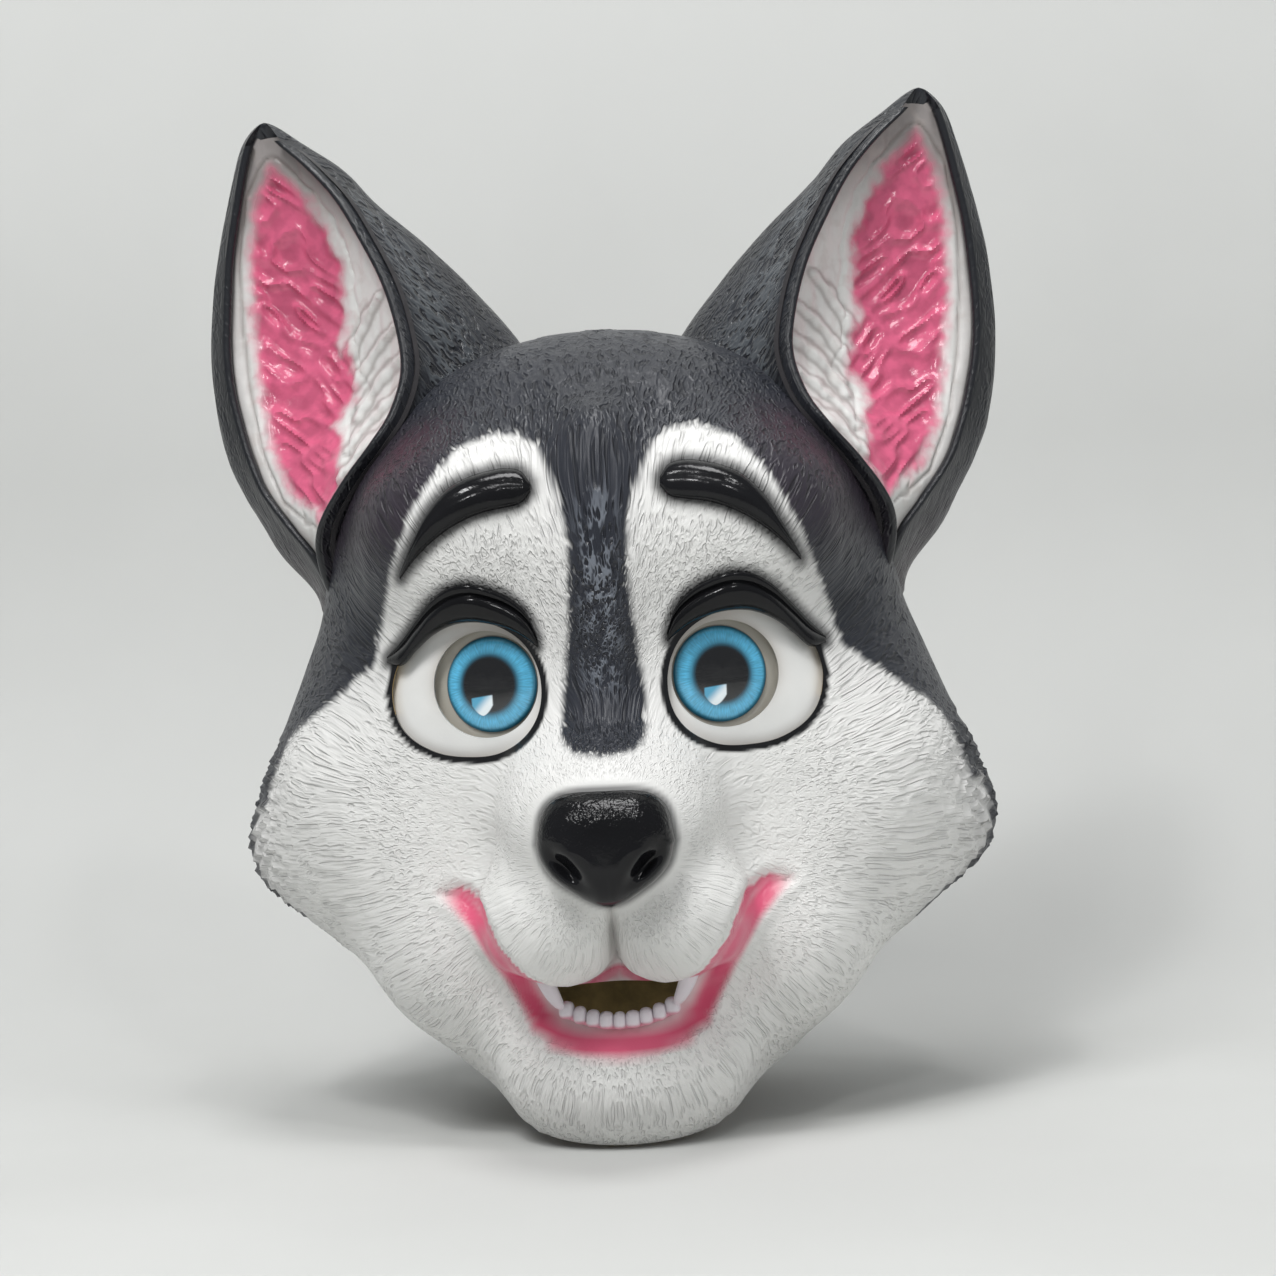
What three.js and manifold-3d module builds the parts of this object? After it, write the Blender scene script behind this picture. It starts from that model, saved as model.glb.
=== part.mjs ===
// A full-head husky mask: a hollow latex hood with two hollow ears, each with a set-in lining,
// raised latex eyelids, brows and nose, rigid white eye shells with round irises set behind a hole,
// a row of lower teeth and two upper canines. Millimetres, +Z up, the face looks along -Y.
// The origin is where the crown of the hood sits on the wearer's head.
import * as THREE from "three";
import { mergeVertices } from "three/addons/utils/BufferGeometryUtils.js";
import Module from "manifold-3d";

// Driving sizes of the hood
const crown_height = 320; // lowest point of the chin rim to the crown
const cheek_width = 308; // across the cheeks
const face_reach = 102; // ear axis forward to the forehead
const back_reach = 127; // ear axis back to the back of the head
const muzzle_reach = 66; // how far the muzzle stands out in front of face_reach
const wall = 2.5; // latex wall
const clearance = 0.3; // gap between bonded pieces

// Ears
const ear_length = 213; // ear root at the temple to the tip
const ear_root_height = 205;
const lining_wall = 2;
const lining_setback = 3; // lining edge behind the rim
const root_hole_radius = 17; // way from the hood into the hollow ear

// Eyes
const eye_shell_wall = 2.5;
const eye_shell_overlap = 4; // shell edge hidden behind the opening's edge
const iris_radius = 18.5;
const iris_hole_radius = 20.8;
const iris_flange_radius = 24.5;
const iris_flange_wall = 1.6;
const iris_dome_height = 4;
const iris_sink = 2.9; // iris flange behind the inner face of the shell at the hole's centre
const lid_height = 6; // how far the lid stands out at its ridge
const brow_height = 5;

// Nose and mouth
const nose_width = 51;
const nose_height = 43;
const nose_depth = 17; // how far the nose stands out of the muzzle
const mouth_width = 56;
const mouth_gap = 13;
const teeth_row_width = 41;
const tooth_count = 9;
const tooth_height = 9;
const tooth_depth = 9;
const gum_radius = 1.8;
const gum_rise = 0.25; // gum strip above the middle of the teeth, as a share of their height
const canine_length = 12;
const canine_radius = 3.4;

// Mesh fineness
const columns = 40;
const rows = 20;
const front_crowding = 0.52; // crowds the columns towards the face
const rim_crowding = 0.8; // crowds the rows towards the mouth and the rim
const finest_step = 0.02;

const half_width = cheek_width / 2;
const dome_base = 0.703; // share of the crown height where the dome starts
const seat_height = crown_height - wall;

// The head in level sections: shares of crown_height, half_width, face_reach and back_reach
const skull_sections = [
  { up: -0.12, wide: 0.2, front: 0.6, back: 0.55 },
  { up: 0.0, wide: 0.34, front: 0.84, back: 0.7 },
  { up: 0.063, wide: 0.44, front: 0.9, back: 0.77 },
  { up: 0.156, wide: 0.6, front: 0.9, back: 0.835 },
  { up: 0.25, wide: 0.835, front: 0.88, back: 0.88 },
  { up: 0.313, wide: 0.972, front: 0.88, back: 0.91 },
  { up: 0.36, wide: 1.0, front: 0.88, back: 0.935 },
  { up: 0.42, wide: 0.965, front: 0.88, back: 0.955 },
  { up: 0.5, wide: 0.9, front: 0.89, back: 0.975 },
  { up: 0.578, wide: 0.835, front: 0.92, back: 0.99 },
  { up: 0.64, wide: 0.785, front: 0.97, back: 1.0 },
  { up: 0.703, wide: 0.76, front: 1.0, back: 0.99 },
];

// Rounded masses blended onto the head: centre and radii as shares of half_width, face_reach and
// crown_height, forward as a share of muzzle_reach past face_reach, blend in millimetres
const masses = [
  { name: "brow", side: 0.34, back: -0.67, forward: 0, up: 0.738, rx: 0.26, ry: 0.35, rz: 0.105, blend: 26 },
  { name: "bridge", side: 0, back: -0.85, forward: 0, up: 0.64, rx: 0.125, ry: 0.27, rz: 0.235, blend: 20 },
  { name: "eye_mound", side: 0.13, back: -0.49, forward: 0, up: 0.55, rx: 0.455, ry: 0.49, rz: 0.1875, blend: 12 },
  { name: "muzzle", side: 0, back: -0.98, forward: 0.14, up: 0.385, rx: 0.27, ry: 0.49, rz: 0.112, blend: 34 },
  { name: "jowl", side: 0.155, back: -0.98, forward: 0.12, up: 0.28, rx: 0.178, ry: 0.36, rz: 0.09, blend: 9 },
  { name: "chin", side: 0, back: -0.76, forward: 0, up: 0.084, rx: 0.3, ry: 0.38, rz: 0.1, blend: 22 },
  { name: "smile", side: 0.4, back: -0.5, forward: 0, up: 0.235, rx: 0.24, ry: 0.41, rz: 0.12, blend: 24 },
  { name: "cheekbone", side: 0.5, back: -0.42, forward: 0, up: 0.42, rx: 0.32, ry: 0.4, rz: 0.13, blend: 34 },
];

// The rim of the neck opening: height above the chin against distance behind the ear axis
const neck_rim = [
  { back: -1.3, up: -0.02 },
  { back: -0.9, up: 0.003 },
  { back: -0.75, up: 0.014 },
  { back: -0.59, up: 0.042 },
  { back: -0.39, up: 0.081 },
  { back: -0.2, up: 0.125 },
  { back: 0.0, up: 0.156 },
  { back: 0.3, up: 0.178 },
  { back: 0.7, up: 0.175 },
  { back: 1.3, up: 0.15 },
];

// Level ear sections from the root to the tip, as shares of half_width (x) and face_reach (y):
// inner rim (ix, iy), medial flank (mx, my), back (bx, by), lateral flank (lx, ly), outer rim (ox, oy)
const ear_sections = [
  { up: -0.02, ix: 0.68, iy: -0.12, mx: 0.52, my: 0.0, bx: 0.62, by: 0.29, lx: 0.75, ly: 0.18, ox: 0.715, oy: -0.06, dish: 0 },
  { up: 0.05, ix: 0.725, iy: -0.24, mx: 0.51, my: 0.05, bx: 0.635, by: 0.41, lx: 0.8, ly: 0.25, ox: 0.75, oy: -0.14, dish: 0 },
  { up: 0.127, ix: 0.745, iy: -0.33, mx: 0.455, my: 0.08, bx: 0.635, by: 0.51, lx: 0.895, ly: 0.22, ox: 0.8, oy: -0.17, dish: 0.01 },
  { up: 0.183, ix: 0.725, iy: -0.42, mx: 0.4, my: 0.09, bx: 0.635, by: 0.57, lx: 0.94, ly: 0.2, ox: 0.86, oy: -0.13, dish: 0.02 },
  { up: 0.258, ix: 0.655, iy: -0.475, mx: 0.33, my: 0.12, bx: 0.635, by: 0.63, lx: 1.0, ly: 0.2, ox: 0.935, oy: -0.06, dish: 0.05 },
  { up: 0.324, ix: 0.578, iy: -0.5, mx: 0.28, my: 0.14, bx: 0.635, by: 0.66, lx: 1.04, ly: 0.2, ox: 0.974, oy: -0.01, dish: 0.09 },
  { up: 0.385, ix: 0.524, iy: -0.45, mx: 0.25, my: 0.16, bx: 0.64, by: 0.68, lx: 1.06, ly: 0.2, ox: 1.0, oy: 0.03, dish: 0.13 },
  { up: 0.465, ix: 0.494, iy: -0.38, mx: 0.225, my: 0.19, bx: 0.645, by: 0.68, lx: 1.078, ly: 0.22, ox: 1.026, oy: 0.07, dish: 0.16 },
  { up: 0.545, ix: 0.506, iy: -0.31, mx: 0.24, my: 0.22, bx: 0.655, by: 0.66, lx: 1.084, ly: 0.24, ox: 1.036, oy: 0.1, dish: 0.17 },
  { up: 0.643, ix: 0.545, iy: -0.23, mx: 0.34, my: 0.235, bx: 0.69, by: 0.61, lx: 1.075, ly: 0.255, ox: 1.032, oy: 0.13, dish: 0.16 },
  { up: 0.737, ix: 0.607, iy: -0.15, mx: 0.465, my: 0.215, bx: 0.735, by: 0.54, lx: 1.055, ly: 0.265, ox: 1.022, oy: 0.15, dish: 0.13 },
  { up: 0.826, ix: 0.678, iy: -0.07, mx: 0.6, my: 0.165, bx: 0.785, by: 0.46, lx: 1.026, ly: 0.265, ox: 1.0, oy: 0.16, dish: 0.09 },
  { up: 0.897, ix: 0.763, iy: 0.0, mx: 0.688, my: 0.15, bx: 0.83, by: 0.38, lx: 1.0, ly: 0.255, ox: 0.98, oy: 0.165, dish: 0.05 },
  { up: 0.958, ix: 0.85, iy: 0.085, mx: 0.805, my: 0.15, bx: 0.883, by: 0.29, lx: 0.971, ly: 0.235, ox: 0.955, oy: 0.165, dish: 0.02 },
  { up: 1.0, ix: 0.89, iy: 0.135, mx: 0.88, my: 0.157, bx: 0.903, by: 0.205, lx: 0.925, ly: 0.176, ox: 0.915, oy: 0.157, dish: 0 },
];

// The eye opening about its centre: reach as a share of half_width in each direction
const eye_centre = { side: 0.351, up: 0.55 };
const eye_outline = [
  { turn: 0, reach: 0.192 },
  { turn: 30, reach: 0.183 },
  { turn: 60, reach: 0.168 },
  { turn: 90, reach: 0.164 },
  { turn: 120, reach: 0.174 },
  { turn: 150, reach: 0.187 },
  { turn: 180, reach: 0.195 },
  { turn: 210, reach: 0.199 },
  { turn: 240, reach: 0.186 },
  { turn: 270, reach: 0.172 },
  { turn: 300, reach: 0.178 },
  { turn: 330, reach: 0.192 },
];
const iris_place = { side: 0.298, up: 0.553 };

// Raised patches, each as a lower and an upper edge from the nose side out
const lid_edges = [
  { side: 0.16, low: 0.594, high: 0.606 },
  { side: 0.182, low: 0.603, high: 0.634 },
  { side: 0.225, low: 0.616, high: 0.655 },
  { side: 0.28, low: 0.625, high: 0.668 },
  { side: 0.33, low: 0.628, high: 0.674 },
  { side: 0.38, low: 0.625, high: 0.67 },
  { side: 0.43, low: 0.614, high: 0.655 },
  { side: 0.475, low: 0.597, high: 0.633 },
  { side: 0.515, low: 0.58, high: 0.612 },
  { side: 0.556, low: 0.584, high: 0.592 },
];
const brow_edges = [
  { side: 0.16, low: 0.779, high: 0.79 },
  { side: 0.182, low: 0.767, high: 0.805 },
  { side: 0.22, low: 0.762, high: 0.81 },
  { side: 0.27, low: 0.758, high: 0.807 },
  { side: 0.32, low: 0.75, high: 0.8 },
  { side: 0.37, low: 0.738, high: 0.787 },
  { side: 0.42, low: 0.721, high: 0.76 },
  { side: 0.46, low: 0.704, high: 0.727 },
  { side: 0.5, low: 0.684, high: 0.69 },
];

// Smooth value of one column at t, through the rows of a table sorted by key
function along(table, key, column, t) {
  const last = table.length - 1;
  if (t <= table[0][key]) return table[0][column];
  if (t >= table[last][key]) return table[last][column];
  let i = 0;
  while (table[i + 1][key] < t) i++;
  const slope = (k) => {
    const a = table[Math.max(k - 1, 0)];
    const b = table[Math.min(k + 1, last)];
    return (b[column] - a[column]) / (b[key] - a[key]);
  };
  const step = table[i + 1][key] - table[i][key];
  const s = (t - table[i][key]) / step;
  const rise = s * s * (3 - 2 * s);
  const ease_in = s * (1 - s) * (1 - s) * step;
  const ease_out = s * s * (s - 1) * step;
  return (
    table[i][column] * (1 - rise) + table[i + 1][column] * rise + slope(i) * ease_in + slope(i + 1) * ease_out
  );
}

function smooth_union(a, b, blend) {
  const h = Math.max(blend - Math.abs(a - b), 0) / blend;
  return Math.min(a, b) - (h * h * blend) / 4;
}

// Signed depth of the plain head: negative inside
function skull_depth(x, y, z) {
  const base = dome_base * crown_height;
  const up = Math.min(z, base) / crown_height;
  const wide = along(skull_sections, "up", "wide", up) * half_width;
  const reach =
    y < 0
      ? along(skull_sections, "up", "front", up) * face_reach
      : along(skull_sections, "up", "back", up) * back_reach;
  const rise = Math.max(z - base, 0);
  const dome = rise / (crown_height - base);
  const share = Math.hypot(x / wide, y / reach, dome);
  const length = Math.hypot(x, y, rise);
  return share < 1e-6 ? -reach : length * (1 - 1 / share);
}

function mass_centre(mass) {
  return [
    mass.side * half_width,
    mass.back * face_reach - mass.forward * muzzle_reach,
    mass.up * crown_height,
  ];
}

function mass_depth(mass, x, y, z, shrink = 0) {
  const [cx, cy, cz] = mass_centre(mass);
  const rx = mass.rx * half_width - shrink;
  const ry = mass.ry * face_reach - shrink;
  const rz = mass.rz * crown_height - shrink;
  const dx = Math.abs(x) - cx;
  const dy = y - cy;
  const dz = z - cz;
  const share = Math.hypot(dx / rx, dy / ry, dz / rz);
  const steep = Math.hypot(dx / (rx * rx), dy / (ry * ry), dz / (rz * rz));
  return share < 1e-6 ? -Math.min(rx, ry, rz) : (share * (share - 1)) / steep;
}

// The whole outer form of the hood, without its openings
function head_depth(x, y, z) {
  let depth = skull_depth(x, y, z);
  for (const mass of masses) depth = smooth_union(depth, mass_depth(mass, x, y, z), mass.blend);
  return depth;
}

function head_normal(p) {
  const e = 0.5;
  const n = new THREE.Vector3(
    head_depth(p.x + e, p.y, p.z) - head_depth(p.x - e, p.y, p.z),
    head_depth(p.x, p.y + e, p.z) - head_depth(p.x, p.y - e, p.z),
    head_depth(p.x, p.y, p.z + e) - head_depth(p.x, p.y, p.z - e),
  );
  return n.normalize();
}

// Outermost point of the head along a ray from a point inside
function cast(from, direction, farthest = 330) {
  const at = (r) => from.clone().addScaledVector(direction, r);
  const inside = (r) => {
    const p = at(r);
    return head_depth(p.x, p.y, p.z) < 0;
  };
  let outer = farthest;
  while (outer > 0 && !inside(outer)) outer -= 2;
  let inner = outer;
  outer += 2;
  while (outer - inner > finest_step) {
    const middle = (inner + outer) / 2;
    if (inside(middle)) inner = middle;
    else outer = middle;
  }
  return at(inner);
}

function front_y(x, z) {
  return cast(new THREE.Vector3(x, 0, z), new THREE.Vector3(0, -1, 0)).y;
}

const head_core = new THREE.Vector3(0, -0.05 * face_reach, 0.47 * crown_height);

function head_point(turn, tilt) {
  const level = Math.sin(tilt);
  const direction = new THREE.Vector3(level * Math.sin(turn), -level * Math.cos(turn), Math.cos(tilt));
  return cast(head_core, direction);
}

function rim_height(y) {
  const reach = y < 0 ? face_reach : back_reach;
  return along(neck_rim, "back", "up", y / reach) * crown_height;
}

// The tilt at which the head's surface meets the neck rim
function rim_tilt(turn) {
  let high = 0.45 * Math.PI;
  let low = 0.98 * Math.PI;
  while (low - high > 1e-4) {
    const middle = (high + low) / 2;
    const p = head_point(turn, middle);
    if (p.z > rim_height(p.y)) high = middle;
    else low = middle;
  }
  return (high + low) / 2;
}

// Points of the head's outer surface, crown first, then rows down to the neck rim
function head_grid() {
  const grid = [];
  for (let c = 0; c < columns; c++) {
    const even = (2 * Math.PI * c) / columns;
    const turn = even - front_crowding * Math.sin(even);
    const rim = rim_tilt(turn);
    const column = [];
    for (let r = 1; r <= rows; r++) column.push(head_point(turn, rim * (r / rows) ** rim_crowding));
    grid.push(column);
  }
  return grid;
}

const surface_grid = head_grid();
const surface_normals = surface_grid.map((column) => column.map(head_normal));
const crown_point = head_point(0, 0);

function offset_grid(offset) {
  return surface_grid.map((column, c) => column.map((p, r) => p.clone().addScaledVector(surface_normals[c][r], offset)));
}

const wasm = await Module();
wasm.setup();

// A closed mesh from points and triangles, as a solid for booleans
function solid_from(points, triangles) {
  const vertProperties = new Float32Array(points.flatMap((p) => [p.x, p.y, p.z]));
  const mesh = new wasm.Mesh({ numProp: 3, vertProperties, triVerts: new Uint32Array(triangles.flat()) });
  const solid = new wasm.Manifold(mesh);
  if (solid.volume() < 0) throw new Error("a solid is inside out");
  return solid;
}

function solid_of_geometry(geometry) {
  const plain = geometry.index ? geometry.toNonIndexed() : geometry.clone();
  const bare = new THREE.BufferGeometry().setAttribute("position", plain.getAttribute("position"));
  const merged = mergeVertices(bare, 1e-3);
  const mesh = new wasm.Mesh({
    numProp: 3,
    vertProperties: merged.attributes.position.array,
    triVerts: new Uint32Array(merged.index.array),
  });
  const solid = new wasm.Manifold(mesh);
  if (solid.volume() <= 0) throw new Error("a geometry is inside out");
  return solid;
}

function geometry_of(solid) {
  const { vertProperties, triVerts } = solid.getMesh();
  const geometry = new THREE.BufferGeometry();
  geometry.setAttribute("position", new THREE.BufferAttribute(vertProperties, 3));
  geometry.setIndex(new THREE.BufferAttribute(triVerts, 1));
  geometry.computeVertexNormals();
  return geometry;
}

// Triangles of a skin over a grid that closes round its columns, with a pole at the crown
function skin_triangles(first, pole, outward) {
  const triangles = [];
  const at = (c, r) => first + (c % columns) * rows + r;
  const add = (a, b, c) => triangles.push(outward ? [a, b, c] : [a, c, b]);
  for (let c = 0; c < columns; c++) {
    add(pole, at(c, 0), at(c + 1, 0));
    for (let r = 0; r + 1 < rows; r++) {
      add(at(c, r), at(c, r + 1), at(c + 1, r + 1));
      add(at(c, r), at(c + 1, r + 1), at(c + 1, r));
    }
  }
  return triangles;
}

// The head as a solid lump, used to seat what stands on it
function solid_head(grow) {
  const grid = offset_grid(grow);
  const points = grid.flat();
  const rim = grid.map((column) => column[rows - 1]);
  const pole = points.push(crown_point.clone().setZ(crown_point.z + grow)) - 1;
  const middle = rim.reduce((sum, p) => sum.add(p), new THREE.Vector3()).divideScalar(columns);
  const foot = points.push(middle) - 1;
  const triangles = skin_triangles(0, pole, true);
  for (let c = 0; c < columns; c++) {
    const here = c * rows + rows - 1;
    const next = ((c + 1) % columns) * rows + rows - 1;
    triangles.push([here, foot, next]);
  }
  return solid_from(points, triangles);
}

// The hollow latex skin, open at the neck rim
function hollow_head() {
  const outer = offset_grid(0).flat();
  const inner = offset_grid(-wall).flat();
  const points = [...outer, crown_point.clone(), ...inner, crown_point.clone().setZ(crown_point.z - wall)];
  const inner_first = outer.length + 1;
  const triangles = [
    ...skin_triangles(0, outer.length, true),
    ...skin_triangles(inner_first, points.length - 1, false),
  ];
  for (let c = 0; c < columns; c++) {
    const here = c * rows + rows - 1;
    const next = ((c + 1) % columns) * rows + rows - 1;
    triangles.push([here, inner_first + here, inner_first + next], [here, inner_first + next, next]);
  }
  return solid_from(points, triangles);
}

// A prism along Y over an outline of [x, z] points that runs anticlockwise seen from the front
function prism(outline, near, far) {
  const shape = new THREE.Shape(outline.map(([x, z]) => new THREE.Vector2(x, z)));
  const geometry = new THREE.ExtrudeGeometry(shape, { depth: far - near, bevelEnabled: false });
  geometry.rotateX(Math.PI / 2); // the outline stands up and the depth runs to -Y
  geometry.translate(0, far, 0);
  return solid_of_geometry(geometry);
}

function mirrored(points, side) {
  return side > 0 ? points : points.map(([x, z]) => [-x, z]).reverse();
}

function eye_outline_points(grow, side) {
  const ring = [...eye_outline, { ...eye_outline[0], turn: 360 }];
  const points = [];
  for (let turn = 0; turn < 360; turn += 12) {
    const reach = along(ring, "turn", "reach", turn) * half_width + grow;
    const angle = (turn * Math.PI) / 180;
    points.push([
      eye_centre.side * half_width + reach * Math.cos(angle),
      eye_centre.up * crown_height + reach * Math.sin(angle),
    ]);
  }
  return mirrored(points, side);
}

const mouth_place = { up: 0.172 };
const mouth_front = -1.16; // the opening is cut from here back, so the jowls in front stay whole
const mouth_back = -0.3;
const teeth_place = { up: 0.153, smile: 2.5, bow: 3 };
const canine_place = { side: 0.15, back: -1.07, up: 0.166, lean_out: 0.35, lean_forward: 0.1 };

function mouth_outline(grow) {
  const points = [];
  const steps = 20;
  for (let i = 0; i < steps; i++) {
    const angle = (2 * Math.PI * i) / steps;
    const sag = 0.28 * mouth_gap * Math.cos(angle) ** 2; // the corners turn up into the smile
    points.push([
      (mouth_width / 2 + grow) * Math.cos(angle),
      mouth_place.up * crown_height + (mouth_gap / 2 + grow) * Math.sin(angle) + sag,
    ]);
  }
  return points;
}

const eye_sink = wall + clearance; // the eye shell lies this deep under the hood's outer form

// Centre of the iris hole on the eye shell, and the way that it looks
function iris_frame(side) {
  const x = side * iris_place.side * half_width;
  const z = iris_place.up * crown_height;
  const surface = new THREE.Vector3(x, front_y(x, z), z);
  const look = head_normal(surface);
  return { place: surface.addScaledVector(look, -eye_sink), look };
}

// Turns a lathed geometry, whose axis is +Y, to look out of the eye
function aim(geometry, frame, behind) {
  const turn = new THREE.Quaternion().setFromUnitVectors(new THREE.Vector3(0, 1, 0), frame.look);
  geometry.applyQuaternion(turn);
  const at = frame.place.clone().addScaledVector(frame.look, -behind);
  geometry.translate(at.x, at.y, at.z);
  return geometry;
}

function eye_shell(side) {
  const shell = solid_head(-eye_sink).subtract(solid_head(-eye_sink - eye_shell_wall));
  const cover = prism(eye_outline_points(eye_shell_overlap, side), -2 * face_reach, -0.4 * face_reach);
  const hole = new THREE.CylinderGeometry(iris_hole_radius, iris_hole_radius, 40, 28);
  return shell.intersect(cover).subtract(solid_of_geometry(aim(hole, iris_frame(side), 0)));
}

// The iris: a flange bonded behind the shell, with the coloured dome standing inside the hole
function iris_solid(side) {
  const rise = iris_dome_height;
  const profile = [new THREE.Vector2(0, -iris_flange_wall), new THREE.Vector2(iris_flange_radius, -iris_flange_wall)];
  profile.push(new THREE.Vector2(iris_flange_radius, 0), new THREE.Vector2(iris_radius, 0));
  for (let i = 1; i <= 3; i++) {
    const angle = (Math.PI / 2) * (i / 3);
    profile.push(new THREE.Vector2(i === 3 ? 0 : iris_radius * Math.cos(angle), rise * Math.sin(angle)));
  }
  const behind = eye_shell_wall + iris_sink;
  const disc = solid_of_geometry(aim(new THREE.LatheGeometry(profile, 20), iris_frame(side), behind));
  return disc.intersect(solid_head(-eye_sink - eye_shell_wall - clearance));
}

// A patch that stands on the hood between two edges, round in section
function raised_patch(edges, height, side, seat) {
  const across = 4;
  const stations = 2 * edges.length - 3;
  const points = [];
  const sunk = wall / 2;
  for (let i = 0; i < stations; i++) {
    const share = i / (stations - 1);
    const first = edges[0].side;
    const at = first + (edges[edges.length - 1].side - first) * share;
    const low = along(edges, "side", "low", at) * crown_height;
    const high = along(edges, "side", "high", at) * crown_height;
    const x = side * at * half_width;
    const swell = Math.min(1, (high - low) / (0.03 * crown_height));
    for (let j = 0; j <= across; j++) {
      const z = low + ((high - low) * j) / across;
      const y = front_y(x, z);
      const crest = Math.sqrt(Math.max(0, 1 - (2 * (j / across) - 1) ** 2));
      points.push(new THREE.Vector3(x, y - clearance - 0.6 - height * crest * swell, z));
      points.push(new THREE.Vector3(x, y + sunk, z));
    }
  }
  const width = 2 * (across + 1);
  const top = (i, j) => i * width + 2 * j;
  const under = (i, j) => top(i, j) + 1;
  const triangles = [];
  const quad = (a, b, c, d) => triangles.push([a, b, c], [a, c, d]);
  for (let i = 0; i + 1 < stations; i++) {
    for (let j = 0; j < across; j++) {
      quad(top(i, j), top(i + 1, j), top(i + 1, j + 1), top(i, j + 1));
      quad(under(i, j), under(i, j + 1), under(i + 1, j + 1), under(i + 1, j));
    }
    quad(top(i, 0), under(i, 0), under(i + 1, 0), top(i + 1, 0));
    quad(top(i, across), top(i + 1, across), under(i + 1, across), under(i, across));
  }
  for (let j = 0; j < across; j++) {
    const end = stations - 1;
    quad(top(0, j), top(0, j + 1), under(0, j + 1), under(0, j));
    quad(top(end, j), under(end, j), under(end, j + 1), top(end, j + 1));
  }
  const facing = side > 0 ? triangles : triangles.map(([a, b, c]) => [a, c, b]);
  return solid_from(points, facing).subtract(seat);
}

// Closed loft up through level rings of equal length, capped at both ends
function loft(levels) {
  const flat = (ring) => ring.map((p) => new THREE.Vector2(p.x, p.y));
  const turned = THREE.ShapeUtils.area(flat(levels[0])) < 0;
  const rings = turned ? levels.map((ring) => [...ring].reverse()) : levels;
  const around = rings[0].length;
  const last = rings.length - 1;
  const triangles = [];
  const at = (i, j) => i * around + (j % around);
  for (let i = 0; i < last; i++) {
    for (let j = 0; j < around; j++) {
      const [a, b, c, d] = [at(i, j), at(i, j + 1), at(i + 1, j + 1), at(i + 1, j)];
      const rising = rings[i][j % around].distanceTo(rings[i + 1][(j + 1) % around]);
      const falling = rings[i][(j + 1) % around].distanceTo(rings[i + 1][j % around]);
      // the shorter diagonal, so that both faces of a thin wall fold the same way
      if (rising < falling) triangles.push([a, b, c], [a, c, d]);
      else triangles.push([a, b, d], [b, c, d]);
    }
  }
  for (const [a, b, c] of THREE.ShapeUtils.triangulateShape(flat(rings[0]), [])) {
    triangles.push([at(0, a), at(0, c), at(0, b)]);
  }
  for (const [a, b, c] of THREE.ShapeUtils.triangulateShape(flat(rings[last]), [])) {
    triangles.push([at(last, a), at(last, b), at(last, c)]);
  }
  return solid_from(rings.flat(), triangles);
}

const ear_steps = 12;
const arc_steps = 13;
const root_crowding = 1.3; // crowds the sections towards the root
const tip_start = 0.955; // the hollow of the ear ends here and the tip above it is solid latex

// One level section of the ear: its outer arc from the inner rim round the back to the outer rim
function ear_section(share) {
  const value = (column) => along(ear_sections, "up", column, share);
  const point = (x, y) => new THREE.Vector3(value(x) * half_width, value(y) * face_reach, 0);
  const inner = point("ix", "iy");
  const outer = point("ox", "oy");
  const knots = [inner, point("mx", "my"), point("bx", "by"), point("lx", "ly"), outer];
  const arc = new THREE.CatmullRomCurve3(knots, false, "centripetal");
  return { inner, outer, arc, dish: value("dish") * face_reach };
}

function ear_point(side, p, share) {
  return new THREE.Vector3(side * p.x, p.y, ear_root_height + share * ear_length);
}

// The ear as a solid lump between two shares of its length, its front closed straight across
function ear_lump(side, from, to, steps) {
  const rings = [];
  for (let i = 0; i <= steps; i++) {
    const share = from + ((to - from) * i) / steps;
    const arc = ear_section(share).arc;
    rings.push(arc.getSpacedPoints(arc_steps).map((p) => ear_point(side, p, share)));
  }
  return loft(rings);
}

// The ear's latex cup, a wall that follows the outer arc and leaves the front open
function ear_cup(side, thick, grow = 0) {
  const rings = [];
  const from = ear_sections[0].up;
  for (let i = 0; i <= ear_steps; i++) {
    const share = from + (tip_start - from) * (i / ear_steps) ** root_crowding;
    const { arc } = ear_section(share);
    const outer = [];
    const inner = [];
    for (let k = 0; k <= arc_steps; k++) {
      const p = arc.getPointAt(k / arc_steps);
      const way = arc.getTangentAt(k / arc_steps);
      const inward = new THREE.Vector3(way.y, -way.x, 0);
      outer.push(ear_point(side, p.clone().addScaledVector(inward, -grow), share));
      inner.push(ear_point(side, p.clone().addScaledVector(inward, thick), share));
    }
    rings.push([...outer, ...inner.reverse()]);
  }
  return loft(rings).add(ear_lump(side, tip_start - 0.01, 1, 3));
}

// The dished lining between the cup's two rims
function ear_lining(side, seat) {
  const rings = [];
  const across = 6;
  const first = ear_sections[1].up;
  for (let i = 0; i <= ear_steps; i++) {
    const share = first + (tip_start - first) * (i / ear_steps) ** root_crowding;
    const { inner, outer, dish } = ear_section(share);
    const chord = inner.clone().sub(outer).normalize();
    const behind = new THREE.Vector3(chord.y, -chord.x, 0);
    const reach = inner.distanceTo(outer) + wall;
    const row = (depth) => {
      const points = [];
      for (let k = 0; k <= across; k++) {
        const sink = depth + lining_setback + dish * Math.sin((Math.PI * k) / across);
        const p = outer.clone().addScaledVector(chord, (reach * k) / across - 0.5 * wall);
        points.push(ear_point(side, p.addScaledVector(behind, sink), share));
      }
      return points;
    };
    rings.push([...row(0), ...row(lining_wall).reverse()]);
  }
  return loft(rings).subtract(ear_cup(side, wall + clearance, 1.5 * wall)).subtract(seat);
}

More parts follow.
